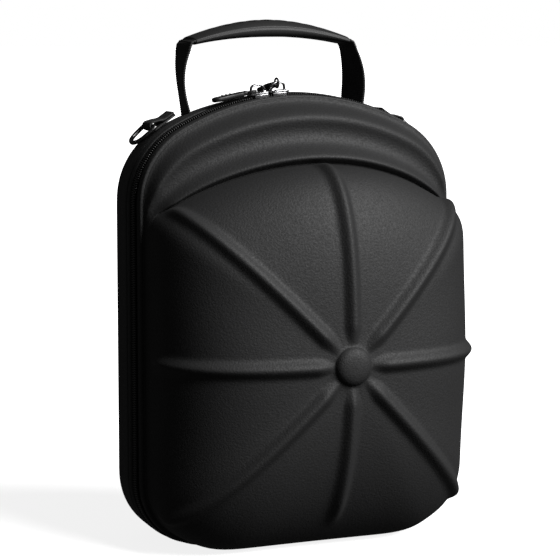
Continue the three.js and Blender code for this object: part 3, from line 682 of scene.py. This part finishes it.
# %% Helpers: frames along a path, wires, slabs, and placing
def smooth_path(points, count, closed=False):
    """Points evenly spaced along a smooth line through the given ones."""
    points = np.array(points, dtype=float)
    if closed:
        points = np.concatenate([points[-1:], points, points[:2]])
    else:
        before, after = 2 * points[0] - points[1], 2 * points[-1] - points[-2]
        points = np.concatenate([[before], points, [after]])
    fine = []
    for a, b, c, d in zip(points, points[1:], points[2:], points[3:]):
        for t in np.linspace(0, 1, 24, endpoint=False):
            fine.append(0.5 * (2 * b + (c - a) * t + (2 * a - 5 * b + 4 * c - d) * t ** 2
                               + (3 * b - a - 3 * c + d) * t ** 3))
    fine.append(points[-2])
    fine = np.array(fine)
    length = np.concatenate([[0], np.cumsum(np.linalg.norm(np.diff(fine, axis=0), axis=1))])
    at = np.linspace(0, length[-1], count + 1)
    return np.stack([np.interp(at, length, fine[:, axis]) for axis in range(3)], axis=1)


def sweep(name, path, section, side, closed=False, levels=0):
    """Runs a section (across, out) along a path; side is the direction of across. Section
    and side may be functions of the point's number."""
    along = np.gradient(path, axis=0)
    if closed:
        along[0] = along[-1] = path[1] - path[-2]
    rings = []
    for number, (at, forward) in enumerate(zip(path, along)):
        out = unit(np.cross(forward, side(number) if callable(side) else side))
        across = unit(np.cross(out, forward))
        shape = section(number) if callable(section) else section
        rings.append(at + shape[:, :1] * across + shape[:, 1:] * out)
    return smoothed(run_skin(name, rings if closed else ended(rings)), levels)


def round_section(radius, count=14):
    turn = np.arange(count) * 2 * math.pi / count
    return np.stack([radius * np.cos(turn), radius * np.sin(turn)], axis=1)


def slab(name, outline, low, high, edge):
    """A flat plate with a rounded edge, from its outline in X and Y."""
    outline = np.array(outline, dtype=float)
    ahead = np.roll(outline, -1, axis=0) - np.roll(outline, 1, axis=0)
    out = np.stack([ahead[:, 1], -ahead[:, 0]], axis=1)
    out /= np.linalg.norm(out, axis=1, keepdims=True)
    middle = outline.mean(axis=0)

    def ring(inset, height):
        flat = outline - inset * out
        return np.concatenate([flat, np.full((len(flat), 1), height)], axis=1)

    def pole(share, height):
        flat = middle + share * (outline - edge * out - middle)
        return np.concatenate([flat, np.full((len(flat), 1), height)], axis=1)

    rings = [pole(0, low), pole(0.6, low)]
    for turn in np.linspace(0, math.pi / 2, 4):
        rings.append(ring(edge * (1 - math.sin(turn)), low + edge * (1 - math.cos(turn))))
    for turn in np.linspace(math.pi / 2, 0, 4):
        rings.append(ring(edge * (1 - math.sin(turn)), high - edge * (1 - math.cos(turn))))
    rings += [pole(0.6, high), pole(0, high)]
    return smoothed(grow_skin(name, rings), 1)


def joined(name, pieces):
    clear_selection()
    for piece in pieces:
        piece.select_set(True)
    bpy.context.view_layer.objects.active = pieces[0]
    bpy.ops.object.join()
    bpy.context.object.name = name
    return bpy.context.object


def placed(piece, at, axes=np.eye(3)):
    """Moves a piece's corners from its own axes to the case's."""
    moved = np.array(at) + arrays_of(piece)[0] @ np.array(axes)
    piece.data.vertices.foreach_set("co", moved.ravel())
    if np.linalg.det(axes) < 0:
        piece.data.flip_normals()
    piece.data.update()
    return piece


print("helpers ready")


# %% [markdown]
# Sliders
# Two die-cast sliders meet at the top of the zip. Each is a plate that narrows to its tail,
# flanges that hug the teeth, and an arched bridge for the pull. We build one in its own
# axes, X along the zip and Z outward, then set it on the outline where the frame has it.

# %% Sliders
def top_at(x):
    split = TOP_RADIUS * SHOULDER_X / (TOP_RADIUS - SHOULDER_RADIUS)
    if abs(x) < split:
        return ARCH_Z + math.sqrt(TOP_RADIUS ** 2 - x * x)
    return SHOULDER_Z + math.sqrt(SHOULDER_RADIUS ** 2 - (abs(x) - SHOULDER_X) ** 2)


def top_normal(x):
    split = TOP_RADIUS * SHOULDER_X / (TOP_RADIUS - SHOULDER_RADIUS)
    if abs(x) < split:
        return math.atan2(top_at(x) - ARCH_Z, x)
    return math.atan2(top_at(x) - SHOULDER_Z, x - math.copysign(SHOULDER_X, x))


def outline_frame(x, lift, depth):
    """A point lifted off the outline at x, and the axes there: along, across and outward."""
    turn = top_normal(x)
    out = np.array([math.cos(turn), 0, math.sin(turn)])
    along = np.array([math.sin(turn), 0, -math.cos(turn)])
    at = np.array([x, ZIP_Y - depth, top_at(x)]) + lift * out
    return at, along, np.array([0.0, 1.0, 0.0]), out


SLIDER_LENGTH = 13 * MM
SLIDER_CLEAR = 0.3 * MM
SLIDER_PLATE = 1.6 * MM
SLIDER_SUNK = min(COIL_SUNK, SLIDER_CLEAR / 2)
BRIDGE_HEIGHT = 4.6 * MM
BRIDGE_WIRE = 1.8 * MM
BRIDGE_REACH = 4.4 * MM
slider_meet = (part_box("zip_slider_left")[1][0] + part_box("zip_slider_right")[0][0]) / 2
slider_x = {side: slider_meet + sign * (SLIDER_LENGTH / 2 + SLIDER_CLEAR)
            for side, sign in (("left", -1), ("right", 1))}


def slider_outline():
    corners = [(-6.4, -2.9), (-5.4, -3.9), (1.3, -4.9), (5.4, -4.4), (6.4, -3.2), (6.5, 0)]
    points = corners + [(x, -y) for x, y in reversed(corners[:-1])] + [(-6.5, 0)]
    path = smooth_path([(x * MM, y * MM, 0) for x, y in points], 44, closed=True)
    return path[:-1, :2]


def build_slider(name):
    top = SLIDER_CLEAR + SLIDER_PLATE
    pieces = [slab(name, slider_outline(), SLIDER_CLEAR, top, 0.55 * MM)]
    for sign in (-1, 1):
        flange = rounded_block("flange", (9.4 * MM, 0.9 * MM, 1.9 * MM), 0.3 * MM, 2)
        placed(flange, (0.6 * MM, sign * 4.3 * MM, -0.4 * MM))
        pieces.append(smoothed(flange, 0))
    post = rounded_block("bridge_foot", (2.6 * MM, 3.2 * MM, 1.2 * MM), 0.4 * MM, 2)
    placed(post, (BRIDGE_REACH - 0.4 * MM, 0, top))
    pieces.append(smoothed(post, 0))
    rise = [(-1, -0.1), (-1.02, 0.35), (-0.92, 0.78), (-0.55, 1.0), (0.3, 1.0), (0.8, 0.8),
            (1.0, 0.4), (1, -0.1)]
    path = smooth_path([(x * BRIDGE_REACH, 0, top + z * BRIDGE_HEIGHT) for x, z in rise], 40)
    section = round_section(BRIDGE_WIRE / 2, 16) * np.array([1.35, 0.85])
    pieces.append(sweep("bridge", path, section, (0, 1, 0)))
    return joined(name, pieces)


sliders = {}
for side, sign in (("left", 1), ("right", -1)):
    at, along, across, out = outline_frame(slider_x[side], -SLIDER_SUNK, 0)
    slider = build_slider("slider_" + side)
    sliders[side] = placed(slider, at, (sign * along, sign * across, out))
print("sliders at x =", {side: round(x, 4) for side, x in slider_x.items()})

# %% [markdown]
# Pull tabs
# Each pull is black rubber moulded over an eye. The left one lies along the zip; the right
# one hangs back over the case from the top of its bridge. One tab is built flat along -X
# and turned into both places.

# %% Pull tabs
PULL_LENGTH = 27 * MM
PULL_WIDTH = 8 * MM
PULL_THICK = 3 * MM
EYE_HOLE = 2.3 * MM
EYE_WIRE = 1.3 * MM
LEFT_DROOP = math.radians(3)
RIGHT_DROOP = math.radians(12)


def tab_outline():
    half = PULL_WIDTH / 2
    start = EYE_HOLE + 0.2 * MM
    edge = [(-start, 0.36 * half), (-start - 2.2 * MM, 0.5 * half),
            (-start - 4.6 * MM, 0.94 * half), (-0.5 * PULL_LENGTH, 0.9 * half),
            (-PULL_LENGTH + 1.3 * half, half)]
    for turn in np.linspace(100, 260, 9):
        angle = math.radians(turn)
        edge.append((-PULL_LENGTH + half + half * math.cos(angle), half * math.sin(angle)))
    edge += [(x, -y) for x, y in reversed(edge[:5])]
    path = smooth_path([(x, y, 0) for x, y in edge], 72, closed=True)
    return path[:-1, :2]


def build_pull(name, on_edge):
    turn = np.linspace(0, 2 * math.pi, 41)
    radius = EYE_HOLE + EYE_WIRE / 2
    flat = (turn * 0, np.sin(turn)) if on_edge else (np.sin(turn), turn * 0)
    path = radius * np.stack([np.cos(turn), flat[0], flat[1]], axis=1)
    side = (0, 1, 0) if on_edge else (0, 0, 1)
    eye = sweep("eye", path, round_section(EYE_WIRE / 2), side, closed=True)
    tab = slab(name, tab_outline(), -PULL_THICK / 2, PULL_THICK / 2, 1.1 * MM)
    pieces = [tab, eye]
    for share in (0.52, 0.62, 0.72):
        for sign in (-1, 1):
            bead = rounded_block("grip_bead", (1.1 * MM, 4.6 * MM, 0.9 * MM), 0.3 * MM, 2)
            placed(bead, (-share * PULL_LENGTH, 0, sign * PULL_THICK / 2))
            pieces.append(smoothed(bead, 0))
    return joined(name, pieces)


def turned(vectors, axis, angle):
    """Turns each of some vectors about a unit axis."""
    axis = np.array(axis, dtype=float)
    return (vectors * math.cos(angle) + np.cross(axis, vectors) * math.sin(angle)
            + np.outer(vectors @ axis, axis) * (1 - math.cos(angle)))


def place_pull(piece, side, at_own, own_axes):
    at, *axes = outline_frame(slider_x[side], -SLIDER_SUNK, 0)
    return placed(piece, at + np.array(at_own) @ axes, np.array(own_axes) @ axes)


plate_top = SLIDER_CLEAR + SLIDER_PLATE
left_axes = turned(np.eye(3), (0, 1, 0), -LEFT_DROOP)
pull_left = place_pull(build_pull("pull_tab_left", False), "left",
                       (-BRIDGE_REACH, 0, plate_top + 0.95 * MM), left_axes)
slack = EYE_HOLE - BRIDGE_WIRE / 2 - SLIDER_CLEAR
right_at = (0, slack * math.cos(RIGHT_DROOP),
            plate_top + BRIDGE_HEIGHT - slack * math.sin(RIGHT_DROOP))
right_axes = turned(turned(np.eye(3), (0, 0, 1), -math.pi / 2), (1, 0, 0), -RIGHT_DROOP)
pull_right = place_pull(build_pull("pull_tab_right", True), "right", right_at, right_axes)

# %% [markdown]
# Handle
# The grip is soft rubber moulded over the webbing: thick in the middle, thin at its ends,
# with a row of slanted slots on top that let it bend. The slots are pressed into the grown
# skin by a smooth distance to each one's middle line, which rounds their lips as moulding
# does. A shallow line along its side is where the two halves of the mould met.

# %% Handle grip
GRIP_LENGTH = 110 * MM
GRIP_WIDTH = 27 * MM
GRIP_THICK = 11 * MM
GRIP_END_THICK = 5 * MM
GRIP_RISE = 8 * MM
GRIP_BACK = 40 * MM
GRIP_TOP = HEIGHT + 32 * MM
STRAP_WIDTH = 25 * MM
STRAP_SPACING = 116 * MM
STRAP_BOW = 4 * MM
SLOTS = 8
SLOT_LENGTH = 11 * MM
SLOT_WIDTH = 3.4 * MM
SLOT_DEPTH = 2.2 * MM
SLOT_SLANT = math.radians(38)
SEAM = 0.55 * MM
GRIP_SECTION = [
    (-0.36, -0.5), (0, -0.5), (0.36, -0.5), (0.47, -0.36), (0.5, -0.1), (0.47, 0.12), (0.3, 0.38),
    (0.1, 0.49), (-0.1, 0.49), (-0.3, 0.38), (-0.47, 0.12), (-0.5, -0.1), (-0.47, -0.36),
]


def grip_line(share):
    rise = GRIP_RISE * (1 - share * share)
    return np.array([share * GRIP_LENGTH / 2, ZIP_Y + GRIP_BACK, GRIP_TOP + rise])


def grip_thick(share):
    return mix(GRIP_THICK, GRIP_END_THICK, abs(share) ** 1.7)


def slot_press(points):
    """How far each point of the grip's top is pressed in by the nearest slot."""
    press = np.zeros(len(points))
    half = (SLOT_LENGTH - SLOT_WIDTH) / 2
    for share in np.linspace(-0.58, 0.58, SLOTS):
        middle = grip_line(share)
        dx, dy = points[:, 0] - middle[0], points[:, 1] - middle[1]
        long_way = -dx * math.sin(SLOT_SLANT) + dy * math.cos(SLOT_SLANT)
        short_way = dx * math.cos(SLOT_SLANT) + dy * math.sin(SLOT_SLANT)
        away = np.hypot(short_way, np.maximum(np.abs(long_way) - half, 0))
        depth = 1 - smooth_step(0.3 * SLOT_WIDTH, 0.58 * SLOT_WIDTH, away)
        press = np.maximum(press, SLOT_DEPTH * depth)
    return press


def grip_rings():
    shape = smooth_path([(across, up, 0) for across, up in GRIP_SECTION], 84, closed=True)[:-1, :2]
    rings = []
    for share in np.linspace(-1, 1, 231):
        middle = grip_line(share)
        thick = grip_thick(share)
        wide = mix(GRIP_WIDTH, STRAP_WIDTH + 1 * MM, smooth_step(0.3, 1, abs(share)))
        end = math.sqrt(max(1 - max((abs(share) - 0.985) / 0.015, 0) ** 2, 0.3))
        ring = np.stack([
            np.full(len(shape), middle[0]),
            middle[1] + shape[:, 0] * wide * end,
            middle[2] + shape[:, 1] * thick * end,
        ], axis=1)
        seam = np.exp(-((shape[:, 1] - 0.02) * thick / SEAM) ** 2) * (np.abs(shape[:, 0]) > 0.4)
        ring[:, 1] -= np.sign(shape[:, 0]) * SEAM * seam
        ring[:, 2] -= np.where(shape[:, 1] > 0.2, slot_press(ring), 0)
        rings.append(ring)
    return ended(rings)


grip = smoothed(run_skin("moulded_grip", grip_rings()), 1)
print("grip:", len(grip.data.polygons), "faces")

# %% [markdown]
# Straps
# The straps are ribbed webbing: stiff cross ridges about a millimetre apart on a strip 25
# wide. Each rises out of the rear shell, bows outward and turns in under the grip's end,
# where the rubber is moulded over it. The ridges are in the section's thickness.

# %% Handle straps
STRAP_THICK = 2.2 * MM
RIDGE_PITCH = 1.45 * MM
STRAP_TOE = math.radians(12)
STRAP_BACK = 34 * MM


def webbing_section(wide, thick):
    """A flat strip's section, its edges rounded, as (across, out) shares of its size."""
    half = [(0.5, 0.0), (0.49, 0.3), (0.465, 0.46), (0.42, 0.5)]
    half += [(across, 0.5) for across in (0.3, 0.15, 0.0)]
    top = half + [(-across, up) for across, up in reversed(half[:-1])]
    bottom = [(across, -up) for across, up in reversed(top[1:-1])]
    return np.array(top + bottom) * np.array([wide, thick])


def strap_path(side):
    foot = side * STRAP_SPACING / 2
    end = side * (GRIP_LENGTH / 2 + 0.3 * MM + STRAP_THICK / 2)
    low = top_at(foot) - REAR_DRAFT - 6 * MM
    points = []
    for share in np.linspace(0, 0.86, 12):
        bow = STRAP_BOW * math.sin(math.pi * share ** 1.2)
        points.append((mix(foot, end, share) + side * bow,
                       ZIP_Y + mix(STRAP_BACK, GRIP_BACK, share), mix(low, GRIP_TOP, share)))
    for out, up in ((0.9, -2.4), (-0.8, -0.4), (-4, 0.3)):
        points.append((end + side * out * MM, ZIP_Y + GRIP_BACK, GRIP_TOP + up * MM))
    return smooth_path(points, 300)


def build_strap(name, side):
    path = strap_path(side)
    length = np.concatenate([[0], np.cumsum(np.linalg.norm(np.diff(path, axis=0), axis=1))])
    plain = webbing_section(STRAP_WIDTH, STRAP_THICK)

    def section(number):
        ridge = 0.5 + 0.5 * math.cos(2 * math.pi * length[number] / RIDGE_PITCH)
        return plain * np.array([1 - 0.012 * (1 - ridge), 0.72 + 0.28 * ridge])

    def lean(number):
        share = number / (len(path) - 1)
        toe = side * STRAP_TOE * math.sin(math.pi * min(share + 0.15, 1))
        return np.array([-math.sin(toe), math.cos(toe), 0])

    return sweep(name, path, section, lean, levels=1)


strap_left = build_strap("webbing_strap_left", -1)
strap_right = build_strap("webbing_strap_right", 1)
print("straps:", len(strap_left.data.polygons), "faces each")

# %% [markdown]
# Shoulder rings
# A short loop of narrow webbing sits at each shoulder and holds a bent-wire ring for a
# carrying strap. The ring's straight bar lies in the loop; its bow hangs out over the flank.

# %% Shoulder rings and their loops
RING_AT_X = 85 * MM
RING_BACK = 25 * MM
RING_WIRE = 2.8 * MM
RING_HALF = 9.9 * MM
RING_DEEP = 15.8 * MM
RING_LEAN = math.radians(6)
TAB_WIDTH = 14 * MM
TAB_THICK = 1.6 * MM
TAB_LENGTH = 16 * MM


def ring_path():
    bow = [(-1, 0.08), (-1.0, 0.38), (-0.88, 0.7), (-0.6, 0.9), (0, 1.0)]
    points = [(y * RING_HALF, -z * RING_DEEP) for y, z in bow]
    points += [(-y, z) for y, z in reversed(points[:-1])]
    points += [(share * RING_HALF, 0.0) for share in (0.9, 0.45, -0.45, -0.9)]
    return smooth_path([(0, y, z) for y, z in points], 96, closed=True)


def loop_path():
    hollow = RING_WIRE / 2 + 0.3 * MM
    middle = hollow + TAB_THICK / 2
    points = [(share * TAB_LENGTH, 0, -middle) for share in (1, 0.6, 0.25)]
    for turn in (270, 225, 180, 135, 95, 60):
        angle = math.radians(turn)
        points.append((middle * math.cos(angle), 0, middle * math.sin(angle)))
    points += [(0.3 * TAB_LENGTH, 0, 0.35 * middle), (0.5 * TAB_LENGTH, 0, -0.25 * middle)]
    points += [(0.75 * TAB_LENGTH, 0, -middle + TAB_THICK), (TAB_LENGTH, 0, -middle + TAB_THICK)]
    return smooth_path(points, 120)


def build_loop(name):
    path = loop_path()
    plain = webbing_section(TAB_WIDTH, TAB_THICK)

    def section(number):
        ridge = 0.5 + 0.5 * math.cos(2 * math.pi * number / 4)
        return plain * np.array([1, 0.8 + 0.2 * ridge])

    return sweep(name, path, section, (0, 1, 0), levels=1)


def build_shoulder(side):
    name = "left" if side < 0 else "right"
    draft = draft_at(top_normal(side * RING_AT_X), RING_BACK - TAB_WIDTH / 2)
    lift = RING_WIRE / 2 + TAB_THICK + 0.9 * MM - draft
    at, along, across, out = outline_frame(side * RING_AT_X, lift, -RING_BACK)
    loop = build_loop("webbing_loop_" + name)
    placed(loop, at, (-side * along, -side * across, out))
    wire = round_section(RING_WIRE / 2, 18)
    ring = sweep("wire_ring_" + name, ring_path(), wire, (1, 0, 0), closed=True)
    axes = turned(np.eye(3), (0, 1, 0), side * (RING_LEAN - math.pi / 2))
    placed(ring, at, axes @ np.array([along, across, out]))
    return loop, ring


loop_left, ring_left = build_shoulder(-1)
loop_right, ring_right = build_shoulder(1)

# %% [markdown]
# What each piece stands for
# Every piece now takes the place of its node in the frame, rides the body that carries the
# node, and takes the node's material slot. Pulls and rings ride their own bodies, so that
# they swing; everything else is fixed to the case.

# %% Bodies, nodes and slots
PIECES = [
    (front, "case", "front_shell", "eva_fabric"),
    (rear, "case", "rear_shell", "eva_fabric"),
    (tape_front, "case", "zip_tape_front", "zip_tape"),
    (tape_rear, "case", "zip_tape_rear", "zip_tape"),
    (hinge, "case", "hinge_strip", "zip_tape"),
    (teeth, "case", "zip_coil", "zip_coil"),
    (sliders["left"], "case", "zip_slider_left", "slider_metal"),
    (sliders["right"], "case", "zip_slider_right", "slider_metal"),
    (pull_left, "pull_left", "zip_pull_left", "pull_rubber"),
    (pull_right, "pull_right", "zip_pull_right", "pull_rubber"),
    (grip, "case", "handle_grip", "grip_rubber"),
    (strap_left, "case", "handle_strap_left", "webbing"),
    (strap_right, "case", "handle_strap_right", "webbing"),
    (loop_left, "case", "ring_tab_left", "webbing"),
    (loop_right, "case", "ring_tab_right", "webbing"),
    (ring_left, "ring_left", "d_ring_left", "ring_metal"),
    (ring_right, "ring_right", "d_ring_right", "ring_metal"),
]
for piece, body, node, slot in PIECES:
    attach(piece, body)
    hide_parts(node)
print("declared", len(PIECES), "pieces")

# %% [markdown]
# Cloth, webbing and rubber
# All of these are black, yet each scatters light its own way. The shell's cloth is a fine
# plain weave laminated on foam: very dark, rough, with a faint sheen at grazing angles and
# a grain so fine that it reads as speckle. The weave and the grain are made once, as groups
# that give a mask and a bumped normal, and each material sets its own colour and gloss.

# %% Node groups: fine weave, soft grain
THREAD_SHARE = 0.03


def new_group(name, size_title):
    """A group that takes a pattern's size and depth and gives a mask and a normal."""
    group = bpy.data.node_groups.new(name, "ShaderNodeTree")
    for title in (size_title, "Depth"):
        group.interface.new_socket(title, in_out="INPUT", socket_type="NodeSocketFloat")
    for title, kind in (("Mask", "NodeSocketFloat"), ("Normal", "NodeSocketVector")):
        group.interface.new_socket(title, in_out="OUTPUT", socket_type=kind)
    return group, group.nodes.new("NodeGroupInput"), group.nodes.new("NodeGroupOutput")


def add_bump(group, given, height, result):
    """Ends a group: its mask is the height, its normal is bumped by it."""
    bump = group.nodes.new("ShaderNodeBump")
    bump.inputs["Strength"].default_value = 1
    group.links.new(given.outputs["Depth"], bump.inputs["Distance"])
    group.links.new(height, bump.inputs["Height"])
    group.links.new(height, result.inputs["Mask"])
    group.links.new(bump.outputs[0], result.inputs["Normal"])
    return group


def math_node(tree, operation, first, second):
    node = tree.nodes.new("ShaderNodeMath")
    node.operation = operation
    for socket, value in zip(node.inputs, (first, second)):
        if isinstance(value, (int, float)):
            socket.default_value = value
        else:
            tree.links.new(value, socket)
    return node.outputs[0]


def weave_group():
    """Two crossing sets of fine threads, broken up by noise, as a mask and a normal."""
    group, given, result = new_group("fine_weave", "Threads per metre")
    place = group.nodes.new("ShaderNodeTexCoord")
    scaled = group.nodes.new("ShaderNodeVectorMath")
    scaled.operation = "SCALE"
    group.links.new(place.outputs["Object"], scaled.inputs[0])
    group.links.new(given.outputs["Threads per metre"], scaled.inputs["Scale"])
    split = group.nodes.new("ShaderNodeSeparateXYZ")
    group.links.new(scaled.outputs[0], split.inputs[0])
    waves = [math_node(group, "SINE", math_node(group, "MULTIPLY", axis, 2 * math.pi), 0)
             for axis in (split.outputs["X"], split.outputs["Z"], split.outputs["Y"])]
    crossed = math_node(group, "MULTIPLY", math_node(group, "ADD", waves[0], waves[2]), waves[1])
    grain = group.nodes.new("ShaderNodeTexNoise")
    grain.inputs["Scale"].default_value = 0.55
    grain.inputs["Detail"].default_value = 3
    group.links.new(scaled.outputs[0], grain.inputs["Vector"])
    threads = math_node(group, "MULTIPLY", crossed, THREAD_SHARE)
    height = math_node(group, "ADD", threads, grain.outputs["Fac"])
    return add_bump(group, given, height, result)


def grain_group():
    """Soft uneven grain of moulded rubber and plated metal, as a mask and a normal."""
    group, given, result = new_group("soft_grain", "Scale")
    place = group.nodes.new("ShaderNodeTexCoord")
    grain = group.nodes.new("ShaderNodeTexNoise")
    grain.inputs["Detail"].default_value = 4
    group.links.new(place.outputs["Object"], grain.inputs["Vector"])
    group.links.new(given.outputs["Scale"], grain.inputs["Scale"])
    return add_bump(group, given, grain.outputs["Fac"], result)


weave = weave_group()
grain = grain_group()
print("node groups:", weave.name, grain.name)

# %% [markdown]
# One recipe serves every finish: two shades mixed by the group's mask, a gloss that varies
# a little with the same mask, and the bumped normal. What differs is in the table below.

# %% Materials
def ranged(tree, mask, low, high):
    """Spreads the middle half of a mask over low to high."""
    spread = tree.nodes.new("ShaderNodeMapRange")
    values = {"From Min": 0.25, "From Max": 0.75, "To Min": low, "To Max": high}
    for title, value in values.items():
        spread.inputs[title].default_value = value
    tree.links.new(mask, spread.inputs["Value"])
    return spread.outputs["Result"]


def finish(name, group, size, depth, dark, light, rough, metal=0.0):
    material = bpy.data.materials.new(name)
    material.use_nodes = True
    tree = material.node_tree
    shader = tree.nodes["Principled BSDF"]
    shader.inputs["Metallic"].default_value = metal
    node = tree.nodes.new("ShaderNodeGroup")
    node.node_tree = group
    node.inputs[0].default_value = size
    node.inputs["Depth"].default_value = depth
    mask = node.outputs["Mask"]
    colours = tree.nodes.new("ShaderNodeMix")
    colours.data_type = "RGBA"
    colours.inputs["A"].default_value = (*dark, 1)
    colours.inputs["B"].default_value = (*light, 1)
    tree.links.new(ranged(tree, mask, 0, 1), colours.inputs["Factor"])
    tree.links.new(colours.outputs["Result"], shader.inputs["Base Color"])
    tree.links.new(ranged(tree, mask, *rough), shader.inputs["Roughness"])
    tree.links.new(node.outputs["Normal"], shader.inputs["Normal"])
    return material


def grey(value, tint=1.0):
    return (value, value, value * tint)


# Slot: name, pattern, its size and depth, dark and light shade, roughness of each
FINISHES = {
    "eva_fabric": finish("pressed cloth", weave, 1500, 0.00025,
                         grey(0.008), grey(0.022, 1.03), (0.75, 0.6)),
    "zip_tape": finish("zip tape", weave, 1100, 0.0003, grey(0.006), grey(0.02), (0.85, 0.7)),
    "zip_coil": finish("nylon teeth", grain, 500, 0.00003, grey(0.012), grey(0.02), (0.3, 0.42)),
    "slider_metal": finish("plated slider", grain, 700, 0.00002,
                           grey(0.42, 1.02), grey(0.55, 1.02), (0.2, 0.32), metal=1.0),
    "pull_rubber": finish("pull rubber", grain, 1200, 0.00004,
                          grey(0.008), grey(0.013), (0.42, 0.55)),
    "grip_rubber": finish("grip rubber", grain, 1500, 0.00005,
                          grey(0.012), grey(0.02), (0.5, 0.62)),
    "webbing": finish("webbing", weave, 900, 0.0003, grey(0.008), grey(0.024), (0.75, 0.6)),
    "ring_metal": finish("black nickel", grain, 600, 0.00002,
                         grey(0.09), grey(0.14), (0.22, 0.34), metal=1.0),
}
for piece, body, node, slot in PIECES:
    piece.data.materials.clear()
    piece.data.materials.append(FINISHES[slot])
print("finishes:", ", ".join(material.name for material in FINISHES.values()))

# %% [markdown]
# Studio
# The photograph is a plain white catalogue shot. One broad soft light stands in front and
# to the right. Black cloth shows mostly what it reflects, so surfaces turned half way
# between the light and the lens are brightest, and the left flank is nearly black. A wide
# sun lamp lights the paper evenly to the horizon, and the paper glows a little, so that the
# shadow on it stays pale. It sends no light back to the case, as with the black flags that
# a photographer sets round a black object, and the room itself is dim.

# %% Floor, room and lights
def add_floor():
    clear_selection()
    bpy.ops.mesh.primitive_plane_add(size=60, location=(0, 0, 0))
    floor = bpy.context.object
    floor.name = "studio_floor"
    material = bpy.data.materials.new("studio paper")
    material.use_nodes = True
    shader = material.node_tree.nodes["Principled BSDF"]
    shader.inputs["Base Color"].default_value = (0.93, 0.93, 0.93, 1)
    shader.inputs["Roughness"].default_value = 0.9
    shader.inputs["Specular IOR Level"].default_value = 0
    shader.inputs["Emission Color"].default_value = (1, 1, 1, 1)
    shader.inputs["Emission Strength"].default_value = 0.85
    floor.data.materials.append(material)
    floor.visible_diffuse = False
    floor.visible_glossy = False
    return floor


def add_sun(name, azimuth, elevation, spread, strength):
    bpy.ops.object.light_add(type="SUN")
    lamp = bpy.context.object
    lamp.name = name
    lamp.data.energy = strength
    lamp.data.angle = math.radians(spread)
    stand_off(lamp, (0, 0, 0), math.radians(azimuth), math.radians(elevation), 3)


def room_light(seen, felt):
    """A room that the camera sees as white paper and the case feels as dim light."""
    world = bpy.data.worlds.new("studio room")
    bpy.context.scene.world = world
    world.use_nodes = True
    tree = world.node_tree
    paper = tree.nodes["Background"]
    paper.inputs["Strength"].default_value = seen
    paper.inputs["Color"].default_value = (1, 1, 1, 1)
    dim = tree.nodes.new("ShaderNodeBackground")
    dim.inputs["Strength"].default_value = felt
    dim.inputs["Color"].default_value = (1, 1, 1, 1)
    path = tree.nodes.new("ShaderNodeLightPath")
    both = tree.nodes.new("ShaderNodeMixShader")
    tree.links.new(path.outputs["Is Camera Ray"], both.inputs["Fac"])
    tree.links.new(dim.outputs[0], both.inputs[1])
    tree.links.new(paper.outputs[0], both.inputs[2])
    tree.links.new(both.outputs[0], tree.nodes["World Output"].inputs["Surface"])


floor = add_floor()
room_light(seen=1.0, felt=0.035)
add_sun("key", azimuth=36, elevation=38, spread=36, strength=4.4)
bpy.context.scene.view_settings.view_transform = "Standard"
print("studio ready")
